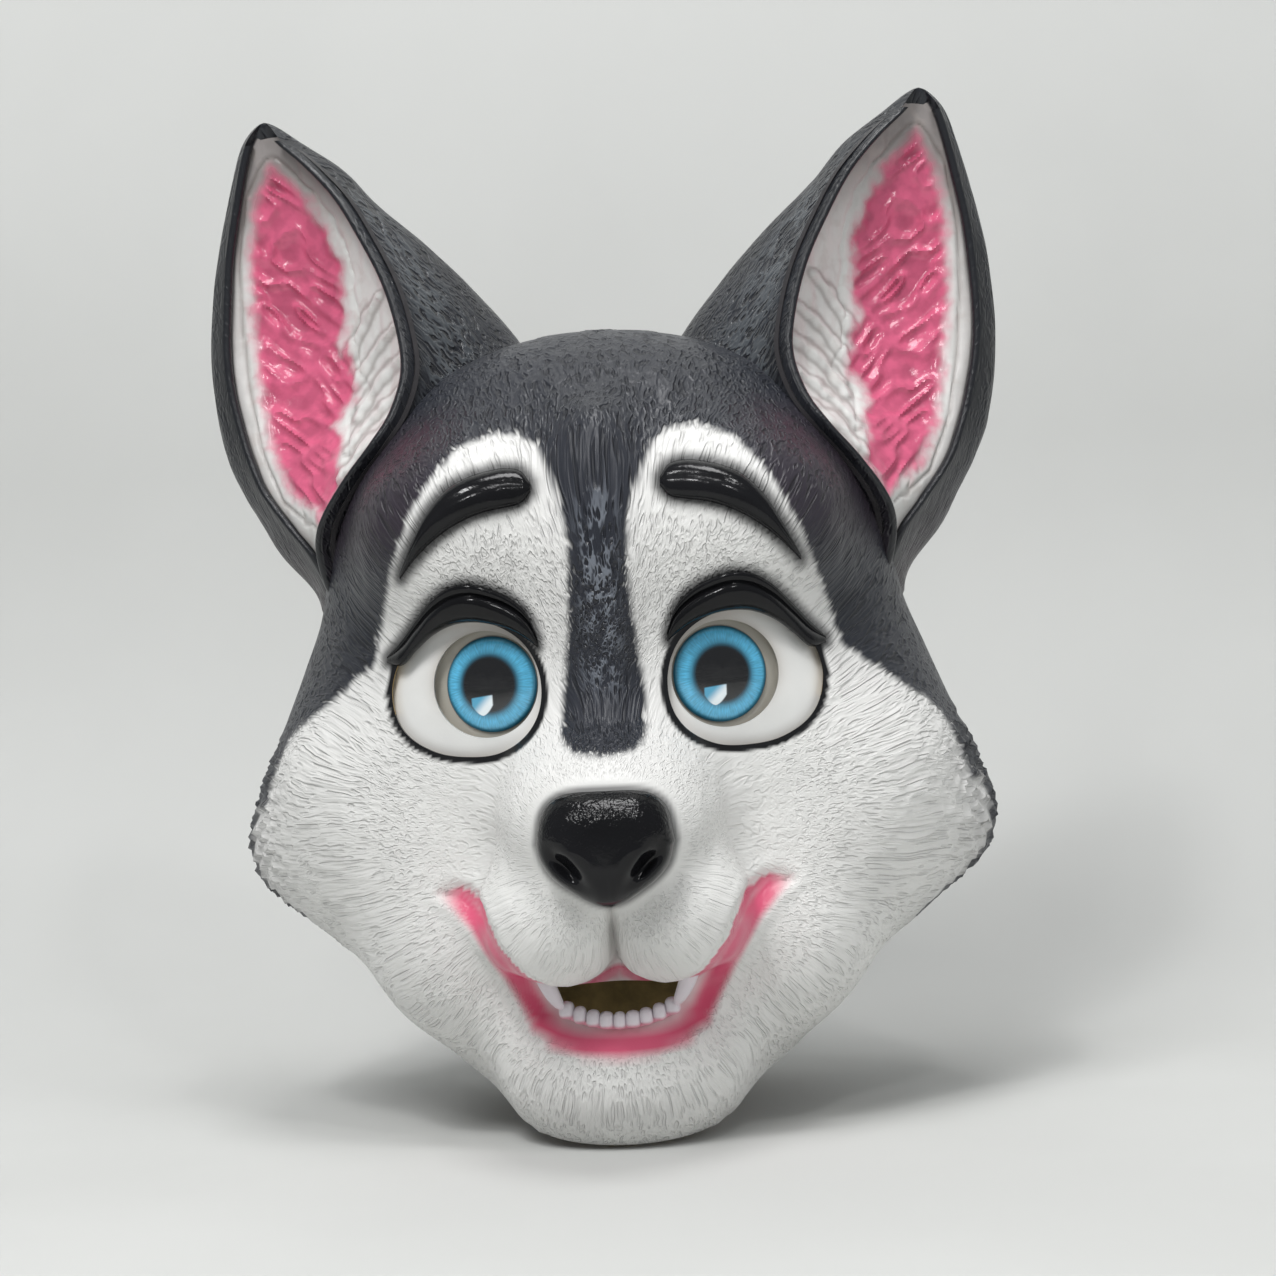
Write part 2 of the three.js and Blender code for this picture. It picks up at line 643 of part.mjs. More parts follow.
// The nose's outline about its centre, as shares of half its width and half its height
const nose_centre = { up: 0.364 };
const nose_outline = [
  { turn: 0, wide: 0.99, high: 0.1 },
  { turn: 40, wide: 0.88, high: 0.68 },
  { turn: 62, wide: 0.6, high: 0.93 },
  { turn: 90, wide: 0, high: 1 },
  { turn: 118, wide: -0.6, high: 0.93 },
  { turn: 140, wide: -0.88, high: 0.68 },
  { turn: 180, wide: -0.99, high: 0.1 },
  { turn: 210, wide: -0.86, high: -0.35 },
  { turn: 235, wide: -0.56, high: -0.68 },
  { turn: 270, wide: 0, high: -1 },
  { turn: 305, wide: 0.56, high: -0.68 },
  { turn: 330, wide: 0.86, high: -0.35 },
  { turn: 360, wide: 0.99, high: 0.1 },
];

// The nose, a loft from inside the muzzle out to its tip
function nose_solid(seat) {
  const rings = [];
  const layers = 5;
  const around = 20;
  const tip = face_reach + muzzle_reach;
  for (let i = 0; i <= layers; i++) {
    const lean = (Math.PI / 2) * (1 - (i - 1) / (layers - 1));
    const swell = i === 0 ? 1 : Math.max(Math.sin(lean) ** 0.7, 0.02);
    const reach = i === 0 ? tip - 2.2 * nose_depth : tip - nose_depth * (1 - Math.cos(lean));
    const drop = 0.12 * nose_height * (1 - swell);
    const ring = [];
    for (let k = 0; k < around; k++) {
      const turn = (360 * k) / around;
      const x = (along(nose_outline, "turn", "wide", turn) * swell * nose_width) / 2;
      const z = (along(nose_outline, "turn", "high", turn) * swell * nose_height) / 2;
      ring.push(new THREE.Vector3(x, nose_centre.up * crown_height + z - drop, reach));
    }
    rings.push(ring);
  }
  const geometry = geometry_of(loft(rings));
  geometry.rotateX(Math.PI / 2); // the loft rose along Z, and the nose points to -Y
  return solid_of_geometry(geometry).subtract(seat);
}

// The lower teeth: a rounded row on a gum strip that lies in the mouth opening
function lower_teeth(mouth_seat) {
  const pitch = teeth_row_width / tooth_count;
  const middle = (tooth_count - 1) / 2;
  const level = teeth_place.up * crown_height;
  const row_front = front_y(0, level);
  const spot = (x) => {
    const share = (2 * x) / teeth_row_width;
    return new THREE.Vector3(x, row_front + teeth_place.bow * share ** 2, level + teeth_place.smile * share ** 2);
  };
  const spots = Array.from({ length: tooth_count }, (_, i) => spot((i - middle) * pitch));
  const lift = new THREE.Vector3(0, 0, gum_rise * tooth_height);
  const strip = new THREE.ExtrudeGeometry(new THREE.Shape().absarc(0, 0, gum_radius, 0, 2 * Math.PI), {
    steps: tooth_count,
    curveSegments: 3,
    bevelEnabled: false,
    extrudePath: new THREE.CatmullRomCurve3(spots.map((p) => p.clone().add(lift))),
  });
  let row = solid_of_geometry(strip);
  for (const p of spots) {
    const tooth = new THREE.SphereGeometry(1, 8, 4);
    tooth.scale(0.64 * pitch, tooth_depth / 2, tooth_height / 2);
    tooth.translate(p.x, p.y, p.z);
    row = row.add(solid_of_geometry(tooth));
  }
  return row.subtract(mouth_seat);
}

// An upper canine, hung from the underside of the jowl
function canine(side, seat) {
  const profile = [];
  for (let i = 0; i <= 4; i++) {
    const angle = (Math.PI / 2) * (i / 4);
    const share = 1 - Math.cos(angle);
    profile.push(new THREE.Vector2(canine_radius * Math.sin(angle) ** 0.8, canine_length * share));
  }
  profile[0].x = 0;
  profile.push(new THREE.Vector2(0, canine_length));
  const geometry = new THREE.LatheGeometry(profile, 12);
  geometry.rotateX(Math.PI / 2 + canine_place.lean_forward);
  geometry.rotateY(side * canine_place.lean_out);
  geometry.translate(side * canine_place.side * half_width, canine_place.back * face_reach, canine_place.up * crown_height);
  return solid_of_geometry(geometry).subtract(seat);
}

// The hood: the latex skin with its eye openings, mouth and the ways into the ears
function hood_solid() {
  let hood = hollow_head();
  for (const side of [-1, 1]) {
    hood = hood.subtract(prism(eye_outline_points(0, side), -2 * face_reach, -0.4 * face_reach));
    hood = hood.subtract(ear_way(side));
  }
  return hood.subtract(mouth_way(0));
}

function mouth_way(grow) {
  return prism(mouth_outline(grow), mouth_front * face_reach, mouth_back * face_reach);
}

// A round way through the hood into the hollow of the ear
function ear_way(side) {
  const from = new THREE.Vector3(0, 0.14 * face_reach, 0.62 * crown_height);
  const to = new THREE.Vector3(side * 0.9 * half_width, 0.14 * face_reach, 1.08 * crown_height);
  const geometry = new THREE.CylinderGeometry(root_hole_radius, root_hole_radius, 0.5 * from.distanceTo(to), 24);
  const way = to.clone().sub(from).normalize();
  geometry.applyQuaternion(new THREE.Quaternion().setFromUnitVectors(new THREE.Vector3(0, 1, 0), way));
  const middle = from.clone().addScaledVector(way, 0.6 * from.distanceTo(to));
  geometry.translate(middle.x, middle.y, middle.z);
  return solid_of_geometry(geometry);
}

const materials = {
  latex_hood: { color: 0xd9d8d4, roughness: 0.5, metalness: 0 },
  latex_ear: { color: 0x3a3d46, roughness: 0.42, metalness: 0 },
  latex_lining: { color: 0xd7798f, roughness: 0.4, metalness: 0 },
  eye_white: { color: 0xe6e3de, roughness: 0.35, metalness: 0 },
  iris_blue: { color: 0x4aa3c7, roughness: 0.12, metalness: 0 },
  latex_black: { color: 0x101114, roughness: 0.2, metalness: 0 },
  tooth: { color: 0xdcd0d8, roughness: 0.3, metalness: 0 },
};

const group = new THREE.Group();

function place(name, solid, material) {
  const mesh = new THREE.Mesh(geometry_of(solid), new THREE.MeshStandardMaterial(materials[material]));
  mesh.name = name;
  group.add(mesh);
}

const seat = solid_head(clearance);

place("hood", hood_solid(), "latex_hood");
place("nose", nose_solid(seat), "latex_black");
place("lower_teeth", lower_teeth(seat.subtract(mouth_way(-clearance))), "tooth");
for (const side of [-1, 1]) {
  const hand = side > 0 ? "left" : "right"; // the wearer's own left
  place(`ear_${hand}`, ear_cup(side, wall).subtract(seat), "latex_ear");
  place(`ear_lining_${hand}`, ear_lining(side, seat), "latex_lining");
  place(`eye_white_${hand}`, eye_shell(side), "eye_white");
  place(`iris_${hand}`, iris_solid(side), "iris_blue");
  place(`eyelid_${hand}`, raised_patch(lid_edges, lid_height, side, seat), "latex_black");
  place(`brow_${hand}`, raised_patch(brow_edges, brow_height, side, seat), "latex_black");
  place(`canine_${hand}`, canine(side, seat), "tooth");
}

group.position.z = -seat_height;

export default group;
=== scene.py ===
"""Latex husky hood mask: every piece modelled over its CAD frame and laid out as a Blender add-on."""

import math

import bpy
import numpy as np
from mathutils import Matrix, Vector


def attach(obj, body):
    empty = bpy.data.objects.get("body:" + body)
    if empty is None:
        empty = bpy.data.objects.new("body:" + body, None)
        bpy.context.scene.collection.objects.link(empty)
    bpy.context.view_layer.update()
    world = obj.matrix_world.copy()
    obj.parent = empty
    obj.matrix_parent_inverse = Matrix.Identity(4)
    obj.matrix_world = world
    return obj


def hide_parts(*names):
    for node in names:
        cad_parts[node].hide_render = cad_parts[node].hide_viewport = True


bl_info = {
    "name": "Latex Husky Hood Mask",
    "version": (1, 0, 0),
    "blender": (4, 5, 0),
    "location": "3D Viewport > Sidebar > Hood Mask",
    "description": "Builds a full-head latex husky mask from hood, ears, eyes, brows, nose and teeth",
    "category": "Add Mesh",
}

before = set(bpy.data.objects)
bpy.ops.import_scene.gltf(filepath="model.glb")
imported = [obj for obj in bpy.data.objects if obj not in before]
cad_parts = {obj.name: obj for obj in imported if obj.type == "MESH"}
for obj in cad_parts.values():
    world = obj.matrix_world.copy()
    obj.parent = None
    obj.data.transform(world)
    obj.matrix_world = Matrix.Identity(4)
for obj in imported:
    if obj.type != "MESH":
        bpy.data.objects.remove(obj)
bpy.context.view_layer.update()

# Driving sizes in millimetres, chin at z 0 and face to -Y
HEIGHT = 320.0
SEAT = 317.5  # the crown seat is the frame's origin
HALF_WIDTH = 154.0
FACE = 102.0
BACK = 127.0
MUZZLE = 66.0
WALL = 2.5
EAR_LENGTH = 213.0
EAR_ROOT = 205.0
DOME_BASE = 0.703 * HEIGHT
EYE_SINK = 2.85  # depth of the eye shell's face under the hood's outer form
HOLE_RADIUS = 20.5
IRIS_RADIUS = 18.5
NOSE_WIDTH = 51.0
NOSE_HEIGHT = 43.0
NOSE_DEPTH = 17.0
TOOTH_COUNT = 9
TEETH_WIDTH = 41.0
TOOTH_SIZE = 9.0
CANINE_LENGTH = 12.5
CANINE_RADIUS = 3.5
LIP_DEPTH = 2.6  # how far the painted lips lie under the face, and the groove below the jowls
EAR_WAY_RADIUS = 17.0  # openings from the hood into the hollow ears
LINING_THICK = 2.0
RIM_SEGMENTS = 6

# Plain colours that no setting changes
DEEP_BLACK = (0.006, 0.006, 0.007, 1.0)
SOOT = (0.012, 0.012, 0.014, 1.0)
LIP_PINK = (0.68, 0.09, 0.185, 1.0)
# grey of the painted shade on the outer cheeks, also used for the grey beside the dark patches
SHADE_AND_EDGE_GREY = (0.33, 0.32, 0.33, 1.0)

# Level sections of the skull: height, half width, reach to the front and to the back, as shares of
# HEIGHT, HALF_WIDTH, FACE and BACK
SKULL = (
    (-0.12, 0.2, 0.6, 0.55),
    (0.0, 0.34, 0.84, 0.7),
    (0.063, 0.44, 0.9, 0.77),
    (0.156, 0.6, 0.9, 0.835),
    (0.25, 0.835, 0.88, 0.88),
    (0.313, 0.972, 0.88, 0.91),
    (0.36, 1.0, 0.88, 0.935),
    (0.42, 0.965, 0.88, 0.955),
    (0.5, 0.9, 0.89, 0.975),
    (0.578, 0.835, 0.92, 0.99),
    (0.64, 0.785, 0.97, 1.0),
    (0.703, 0.76, 1.0, 0.99),
)
# Rounded masses of the face: side, back, forward, up and three radii as shares, blend in millimetres
MASSES = (
    (0.34, -0.67, 0.0, 0.738, 0.26, 0.35, 0.105, 26.0),
    (0.0, -0.85, 0.0, 0.64, 0.125, 0.27, 0.235, 20.0),
    (0.13, -0.49, 0.0, 0.55, 0.455, 0.49, 0.1875, 12.0),
    (0.0, -0.98, 0.14, 0.385, 0.27, 0.49, 0.112, 34.0),
    (0.155, -0.98, 0.12, 0.28, 0.178, 0.36, 0.09, 9.0),
    (0.0, -0.76, 0.0, 0.084, 0.3, 0.38, 0.1, 22.0),
    (0.4, -0.5, 0.0, 0.235, 0.24, 0.41, 0.12, 24.0),
    (0.5, -0.42, 0.0, 0.42, 0.32, 0.4, 0.13, 34.0),
)
# Cut edge of the neck: reach from the front, negative, to the back, and its height
NECK_RIM = (
    (-1.3, -0.02),
    (-0.9, 0.003),
    (-0.75, 0.014),
    (-0.59, 0.042),
    (-0.39, 0.081),
    (-0.2, 0.125),
    (0.0, 0.156),
    (0.3, 0.17),
    (0.5, 0.13),
    (0.75, 0.065),
    (1.0, 0.045),
    (1.3, 0.045),
)
# Ear sections: height, then inner rim, inner flank, back, outer flank, outer rim and the dish
EAR = (
    (-0.02, 0.68, -0.12, 0.52, 0.0, 0.62, 0.29, 0.75, 0.18, 0.715, -0.06, 0.0),
    (0.05, 0.725, -0.24, 0.51, 0.05, 0.635, 0.41, 0.8, 0.25, 0.75, -0.14, 0.0),
    (0.127, 0.745, -0.33, 0.455, 0.08, 0.635, 0.51, 0.895, 0.22, 0.8, -0.17, 0.01),
    (0.183, 0.725, -0.42, 0.4, 0.09, 0.635, 0.57, 0.94, 0.2, 0.86, -0.13, 0.02),
    (0.258, 0.655, -0.475, 0.33, 0.12, 0.635, 0.63, 1.0, 0.2, 0.935, -0.06, 0.05),
    (0.324, 0.578, -0.5, 0.28, 0.14, 0.635, 0.66, 1.04, 0.2, 0.974, -0.01, 0.09),
    (0.385, 0.524, -0.45, 0.25, 0.16, 0.64, 0.68, 1.06, 0.2, 1.0, 0.03, 0.13),
    (0.465, 0.494, -0.38, 0.225, 0.19, 0.645, 0.68, 1.078, 0.22, 1.026, 0.07, 0.16),
    (0.545, 0.506, -0.31, 0.24, 0.22, 0.655, 0.66, 1.084, 0.24, 1.036, 0.1, 0.17),
    (0.643, 0.545, -0.23, 0.34, 0.235, 0.69, 0.61, 1.075, 0.255, 1.032, 0.13, 0.16),
    (0.737, 0.607, -0.15, 0.465, 0.215, 0.735, 0.54, 1.055, 0.265, 1.022, 0.15, 0.13),
    (0.826, 0.678, -0.07, 0.6, 0.165, 0.785, 0.46, 1.026, 0.265, 1.0, 0.16, 0.09),
    (0.897, 0.763, 0.0, 0.688, 0.15, 0.83, 0.38, 1.0, 0.255, 0.98, 0.165, 0.05),
    (0.958, 0.85, 0.085, 0.805, 0.15, 0.883, 0.29, 0.971, 0.235, 0.955, 0.165, 0.02),
    (1.0, 0.89, 0.135, 0.88, 0.157, 0.903, 0.205, 0.925, 0.176, 0.915, 0.157, 0.0),
)
EYE_CENTRE = (0.351 * HALF_WIDTH, 0.55 * HEIGHT)
# Turn in degrees and reach as a share of HALF_WIDTH
EYE_OUTLINE = (
    (0, 0.192),
    (30, 0.183),
    (60, 0.168),
    (90, 0.164),
    (120, 0.174),
    (150, 0.187),
    (180, 0.195),
    (210, 0.199),
    (240, 0.186),
    (270, 0.172),
    (300, 0.178),
    (330, 0.192),
    (360, 0.192),
)
IRIS_PLACE = (0.298 * HALF_WIDTH, 0.553 * HEIGHT)
# Side, lower edge and upper edge of the raised lids and brows
LID = (
    (0.16, 0.594, 0.606),
    (0.182, 0.603, 0.634),
    (0.225, 0.616, 0.655),
    (0.28, 0.625, 0.668),
    (0.33, 0.628, 0.674),
    (0.38, 0.625, 0.67),
    (0.43, 0.614, 0.655),
    (0.475, 0.597, 0.633),
    (0.515, 0.58, 0.612),
    (0.556, 0.584, 0.592),
)
BROW = (
    (0.16, 0.779, 0.79),
    (0.182, 0.767, 0.805),
    (0.22, 0.762, 0.81),
    (0.27, 0.758, 0.807),
    (0.32, 0.75, 0.8),
    (0.37, 0.738, 0.787),
    (0.42, 0.721, 0.76),
    (0.46, 0.704, 0.727),
    (0.5, 0.684, 0.69),
)
# Turn in degrees, then side and height as shares of the nose's halves
NOSE_OUTLINE = (
    (0, 0.99, 0.1),
    (40, 0.88, 0.68),
    (62, 0.6, 0.93),
    (90, 0.0, 1.0),
    (118, -0.6, 0.93),
    (140, -0.88, 0.68),
    (180, -0.99, 0.1),
    (210, -0.86, -0.35),
    (235, -0.56, -0.68),
    (270, 0.0, -1.0),
    (305, 0.56, -0.68),
    (330, 0.86, -0.35),
    (360, 0.99, 0.1),
)
NOSE_UP = 0.364 * HEIGHT

# Painted edges on the left half, as (x, z) seen from the front
PATCH_EDGE = (
    (92.5, 185.0),
    (87.5, 202.5),
    (82.5, 217.5),
    (77.0, 232.0),
    (70.0, 246.5),
    (63.0, 257.0),
    (53.0, 268.5),
    (39.0, 274.0),
    (29.0, 272.5),
    (22.0, 268.0),
    (18.5, 259.0),
    (14.5, 248.0),
    (11.5, 236.0),
    (11.0, 223.5),
    (11.5, 209.0),
    (12.0, 200.0),
    (14.0, 183.5),
    (15.5, 166.0),
    (15.6, 156.0),
    (11.0, 151.0),
    (0.0, 149.5),
)
CHEEK_EDGE = (
    (143.0, 130.0),
    (138.0, 145.0),
    (131.5, 156.5),
    (125.0, 163.0),
    (115.5, 169.5),
    (105.0, 177.0),
    (97.5, 183.0),
)
JOWL_EDGE = (
    (67.5, 98.0),
    (58.0, 98.5),
    (50.5, 94.0),
    (46.5, 87.0),
    (43.5, 80.0),
    (38.0, 73.0),
    (32.5, 66.5),
    (25.5, 62.0),
    (18.0, 60.5),
    (10.5, 61.5),
    (5.0, 64.5),
    (0.0, 67.0),
    (-30.0, 67.0),
)
LIP_EDGE = (
    (68.0, 97.0),
    (62.0, 92.5),
    (54.5, 84.5),
    (48.5, 75.0),
    (42.5, 64.5),
    (37.5, 55.0),
    (33.0, 46.5),
    (25.5, 40.5),
    (14.0, 37.0),
    (0.0, 36.0),
    (-30.0, 36.0),
)
# Pink patch of the left ear's lining
PINK_PATCH = (
    (136.5, 399.0),
    (123.0, 386.0),
    (113.5, 370.0),
    (108.5, 358.0),
    (106.0, 332.0),
    (108.0, 323.0),
    (101.0, 300.0),
    (109.5, 288.0),
    (107.5, 270.0),
    (108.0, 255.0),
    (115.0, 245.0),
    (131.0, 258.0),
    (140.0, 280.0),
    (144.5, 305.0),
    (147.5, 332.0),
    (148.0, 361.0),
    (144.5, 385.0),
    (139.0, 396.0),
)
# Folded tufts on the inner side of the ear lining, each a root, a bend and a tip
TUFTS = (
    ((82.0, 325.0), (95.0, 316.0), (103.0, 302.0)),
    ((80.0, 311.0), (94.0, 303.0), (101.0, 288.0)),
    ((80.0, 297.0), (95.0, 288.0), (104.0, 275.0)),
    ((84.0, 284.0), (97.0, 276.0), (106.0, 262.0)),
    ((90.0, 272.0), (101.0, 264.0), (109.0, 251.0)),
    ((97.0, 262.0), (106.0, 254.0), (113.0, 243.0)),
    ((90.0, 338.0), (99.0, 330.0), (105.0, 316.0)),
)


def smoothstep(low, high, value):
    """0 at low and 1 at high, with a smooth rise between them, also where low is the larger."""
    share = np.clip((np.asarray(value, float) - low) / (high - low), 0.0, 1.0)
    return share * share * (3 - 2 * share)


def along(table, column, at):
    """Smooth value of one column of a table, whose first column is the key."""
    rows = np.asarray(table, float)
    keys = rows[:, 0]
    values = rows[:, column]
    slopes = np.empty(len(rows))
    slopes[1:-1] = (values[2:] - values[:-2]) / (keys[2:] - keys[:-2])
    slopes[0] = (values[1] - values[0]) / (keys[1] - keys[0])
    slopes[-1] = (values[-1] - values[-2]) / (keys[-1] - keys[-2])
    at = np.clip(np.asarray(at, float), keys[0], keys[-1])
    i = np.clip(np.searchsorted(keys, at, "right") - 1, 0, len(rows) - 2)
    step = keys[i + 1] - keys[i]
    s = (at - keys[i]) / step
    rise = s * s * (3 - 2 * s)
    bend = slopes[i] * s * (1 - s) ** 2 + slopes[i + 1] * s * s * (s - 1)
    return values[i] * (1 - rise) + values[i + 1] * rise + bend * step


def smooth_union(a, b, blend):
    """Two depths joined with a rounded blend."""
    h = np.maximum(blend - np.abs(a - b), 0) / blend
    return np.minimum(a, b) - h * h * blend / 4


def head_depth(p):
    """Signed depth of the head's outer form in millimetres, negative inside."""
    x, y, z = p[..., 0], p[..., 1], p[..., 2]
    up = np.minimum(z, DOME_BASE) / HEIGHT
    wide = along(SKULL, 1, up) * HALF_WIDTH
    reach = np.where(y < 0, along(SKULL, 2, up) * FACE, along(SKULL, 3, up) * BACK)
    rise = np.maximum(z - DOME_BASE, 0)
    dome = rise / (HEIGHT - DOME_BASE)
    share = np.sqrt((x / wide) ** 2 + (y / reach) ** 2 + dome**2)
    length = np.sqrt(x * x + y * y + rise * rise)
    depth = length * (1 - 1 / np.maximum(share, 1e-4))
    for side, back, forward, level, rx, ry, rz, blend in MASSES:
        radii = (rx * HALF_WIDTH, ry * FACE, rz * HEIGHT)
        dx = np.abs(x) - side * HALF_WIDTH
        dy = y - (back * FACE - forward * MUZZLE)
        dz = z - level * HEIGHT
        far = np.sqrt((dx / radii[0]) ** 2 + (dy / radii[1]) ** 2 + (dz / radii[2]) ** 2)
        steep = np.sqrt(
            (dx / radii[0] ** 2) ** 2 + (dy / radii[1] ** 2) ** 2 + (dz / radii[2] ** 2) ** 2
        )
        lump = far * (far - 1) / np.maximum(steep, 1e-6)
        depth = smooth_union(depth, lump, blend)
    return depth


def head_normal(p):
    """Outward directions of the head's form at the points."""
    step = 0.5
    normal = np.empty_like(p)
    for axis in range(3):
        ahead = p.copy()
        behind = p.copy()
        ahead[..., axis] += step
        behind[..., axis] -= step
        normal[..., axis] = head_depth(ahead) - head_depth(behind)
    return normal / np.linalg.norm(normal, axis=-1, keepdims=True)


def cast(start, direction, sink=0.0):
    """Outermost points of the head, or of its form sunk by a depth, along rays from far outside."""
    caution = 0.6  # share of the depth that each step takes, since the depth is only an estimate
    reach = np.full(direction.shape[:-1], 330.0)
    for _ in range(45):
        depth = head_depth(start + direction * reach[..., None]) + sink
        reach = reach - caution * np.maximum(depth, 0)
    inner = reach - 6.0
    outer = reach + 0.5
    for _ in range(10):
        middle = (inner + outer) / 2
        inside = head_depth(start + direction * middle[..., None]) + sink < 0
        inner = np.where(inside, middle, inner)
        outer = np.where(inside, outer, middle)
    return start + direction * inner[..., None]


def front_point(x, z, sink=0.0):
    """Points of the face over (x, z), as seen from the front."""
    x = np.asarray(x, float)
    z = np.broadcast_to(np.asarray(z, float), x.shape)
    start = np.stack([x, np.full(x.shape, 60.0), z], axis=-1)
    direction = np.zeros(start.shape)
    direction[..., 1] = -1.0
    return cast(start, direction, sink)


def rim_height(y):
    """Height of the neck's cut edge over the depth y."""
    return along(NECK_RIM, 1, y / np.where(y < 0, FACE, BACK)) * HEIGHT


def path_distance(path, x, z):
    """Distance from (x, z) to a chain of points."""
    best = np.full(np.shape(x), 1e9)
    for (ax, az), (bx, bz) in zip(path[:-1], path[1:]):
        dx, dz = bx - ax, bz - az
        share = np.clip(((x - ax) * dx + (z - az) * dz) / (dx * dx + dz * dz), 0, 1)
        best = np.minimum(best, np.hypot(x - ax - share * dx, z - az - share * dz))
    return best


def outline_depth(outline, x, z):
    """Distance into a closed outline, negative outside it."""
    closed = list(outline) + [outline[0]]
    inside = np.zeros(np.shape(x), bool)
    for (ax, az), (bx, bz) in zip(closed[:-1], closed[1:]):
        if az == bz:
            continue
        crosses = (az > z) != (bz > z)
        at = ax + (z - az) * (bx - ax) / (bz - az)
        inside ^= crosses & (x < at)
    distance = path_distance(closed, x, z)
    return np.where(inside, distance, -distance)


def lumps(u, v, seed):
    """Soft random heights from 0 to 1 over a plane, the same on each run."""
    cells = np.random.RandomState(seed).rand(64, 64)
    ui, vi = np.floor(u).astype(int), np.floor(v).astype(int)
    us, vs = smoothstep(0, 1, u - ui), smoothstep(0, 1, v - vi)
    low = cells[ui % 64, vi % 64] * (1 - us) + cells[(ui + 1) % 64, vi % 64] * us
    high = cells[ui % 64, (vi + 1) % 64] * (1 - us) + cells[(ui + 1) % 64, (vi + 1) % 64] * us
    return low * (1 - vs) + high * vs


def eye_outline(grow, steps=120):
    """Points round the left eye opening, grown outward."""
    turn = np.arange(steps) * 360.0 / steps
    reach = along(EYE_OUTLINE, 1, turn) * HALF_WIDTH + grow
    angle = np.radians(turn)
    return np.stack(
        [EYE_CENTRE[0] + reach * np.cos(angle), EYE_CENTRE[1] + reach * np.sin(angle)], axis=1
    )


def band_outline(edges, grow=0.0):
    """Closed outline of a lid or brow, from its lower and upper edges."""
    side = np.linspace(edges[0][0], edges[-1][0], 28)
    low = np.stack([side * HALF_WIDTH, along(edges, 1, side) * HEIGHT - grow], axis=1)
    high = np.stack([side * HALF_WIDTH, along(edges, 2, side) * HEIGHT + grow], axis=1)
    return [tuple(p) for p in low] + [tuple(p) for p in high[::-1]]


def nose_ring(steps, swell=1.0):
    """Points round the nose, as x and as z from its middle."""
    turn = np.arange(steps) * 360.0 / steps
    x = along(NOSE_OUTLINE, 1, turn) * swell * NOSE_WIDTH / 2
    z = along(NOSE_OUTLINE, 2, turn) * swell * NOSE_HEIGHT / 2
    return x, z


# Meshes

def make_mesh(name, points, faces, smooth=38.0):
    """A mesh object in the frame, from points in millimetres with the chin at z 0."""
    points = np.asarray(points, float).reshape(-1, 3).copy()
    points[:, 2] -= SEAT
    mesh = bpy.data.meshes.new(name)
    mesh.from_pydata((points / 1000.0).tolist(), [], [list(map(int, f)) for f in faces])
    mesh.validate()
    mesh.update()
    mesh.shade_smooth()
    if smooth:
        mesh.set_sharp_from_angle(angle=math.radians(smooth))
    piece = bpy.data.objects.new(name, mesh)
    bpy.context.scene.collection.objects.link(piece)
    return piece


def grid_faces(rows, columns, closed=False, start=0, flip=False):
    """Quads between rows of points that follow one another."""
    across = columns if closed else columns - 1
    faces = []
    for r in range(rows - 1):
        for c in range(across):
            a = start + r * columns + c
            b = start + r * columns + (c + 1) % columns
            face = (a, b, b + columns, a + columns)
            faces.append(face[::-1] if flip else face)
    return faces


def tube_faces(rows, around, start=0):
    """Faces of a closed tube of rings, with a flat cap at both ends."""
    faces = grid_faces(rows, around, closed=True, start=start)
    faces.append(tuple(range(start + around - 1, start - 1, -1)))
    faces.append(tuple(start + (rows - 1) * around + k for k in range(around)))
    return faces


def slab(front, back, name):
    """A closed sheet between two grids of points of the same size."""
    rows, columns = front.shape[:2]
    points = np.concatenate([front.reshape(-1, 3), back.reshape(-1, 3)])
    shift = rows * columns
    faces = grid_faces(rows, columns) + grid_faces(rows, columns, start=shift, flip=True)
    edge = list(range(columns))
    edge += [r * columns + columns - 1 for r in range(1, rows)]
    edge += [(rows - 1) * columns + c for c in range(columns - 2, -1, -1)]
    edge += [r * columns for r in range(rows - 2, 0, -1)]
    for a, b in zip(edge, edge[1:] + edge[:1]):
        faces.append((b, a, a + shift, b + shift))
    return make_mesh(name, points, faces)


def outward(piece):
    """Turns the faces of a closed mesh outward."""
    mesh = piece.data
    co = np.array([v.co for v in mesh.vertices])
    mesh.calc_loop_triangles()
    tri = np.array([t.vertices for t in mesh.loop_triangles])
    volume = np.einsum("ij,ij->i", co[tri[:, 0]], np.cross(co[tri[:, 1]], co[tri[:, 2]])).sum()
    if volume < 0:
        mesh.flip_normals()
    return piece


def mirrored_copy(piece, name):
    """The same piece on the other side of the mask."""
    twin = bpy.data.objects.new(name, piece.data.copy())
    twin.data.transform(Matrix.Scale(-1, 4, (1, 0, 0)))
    twin.data.flip_normals()
    bpy.context.scene.collection.objects.link(twin)
    return twin


def cut(piece, cutter):
    """Takes the cutter out of the piece, then deletes it."""
    step = piece.modifiers.new("Opening", "BOOLEAN")
    step.operation = "DIFFERENCE"
    step.solver = "MANIFOLD"
    step.object = cutter
    bpy.context.view_layer.update()
    graph = bpy.context.evaluated_depsgraph_get()
    result = bpy.data.meshes.new_from_object(piece.evaluated_get(graph))
    piece.modifiers.clear()
    if len(result.polygons) < 100 or len(result.polygons) == len(piece.data.polygons):
        raise RuntimeError(f"an opening in {piece.name} could not be cut")
    piece.data = result
    bpy.data.objects.remove(cutter, do_unlink=True)


def prism(outline, near, far):
    """A closed prism along Y over an outline of (x, z) points."""
    count = len(outline)
    front = [(x, near, z) for x, z in outline]
    back = [(x, far, z) for x, z in outline]
    faces = [tuple(range(count)), tuple(range(2 * count - 1, count - 1, -1))]
    for i in range(count):
        j = (i + 1) % count
        faces.append((i, i + count, j + count, j))
    return outward(make_mesh("cutter", front + back, faces, smooth=0))


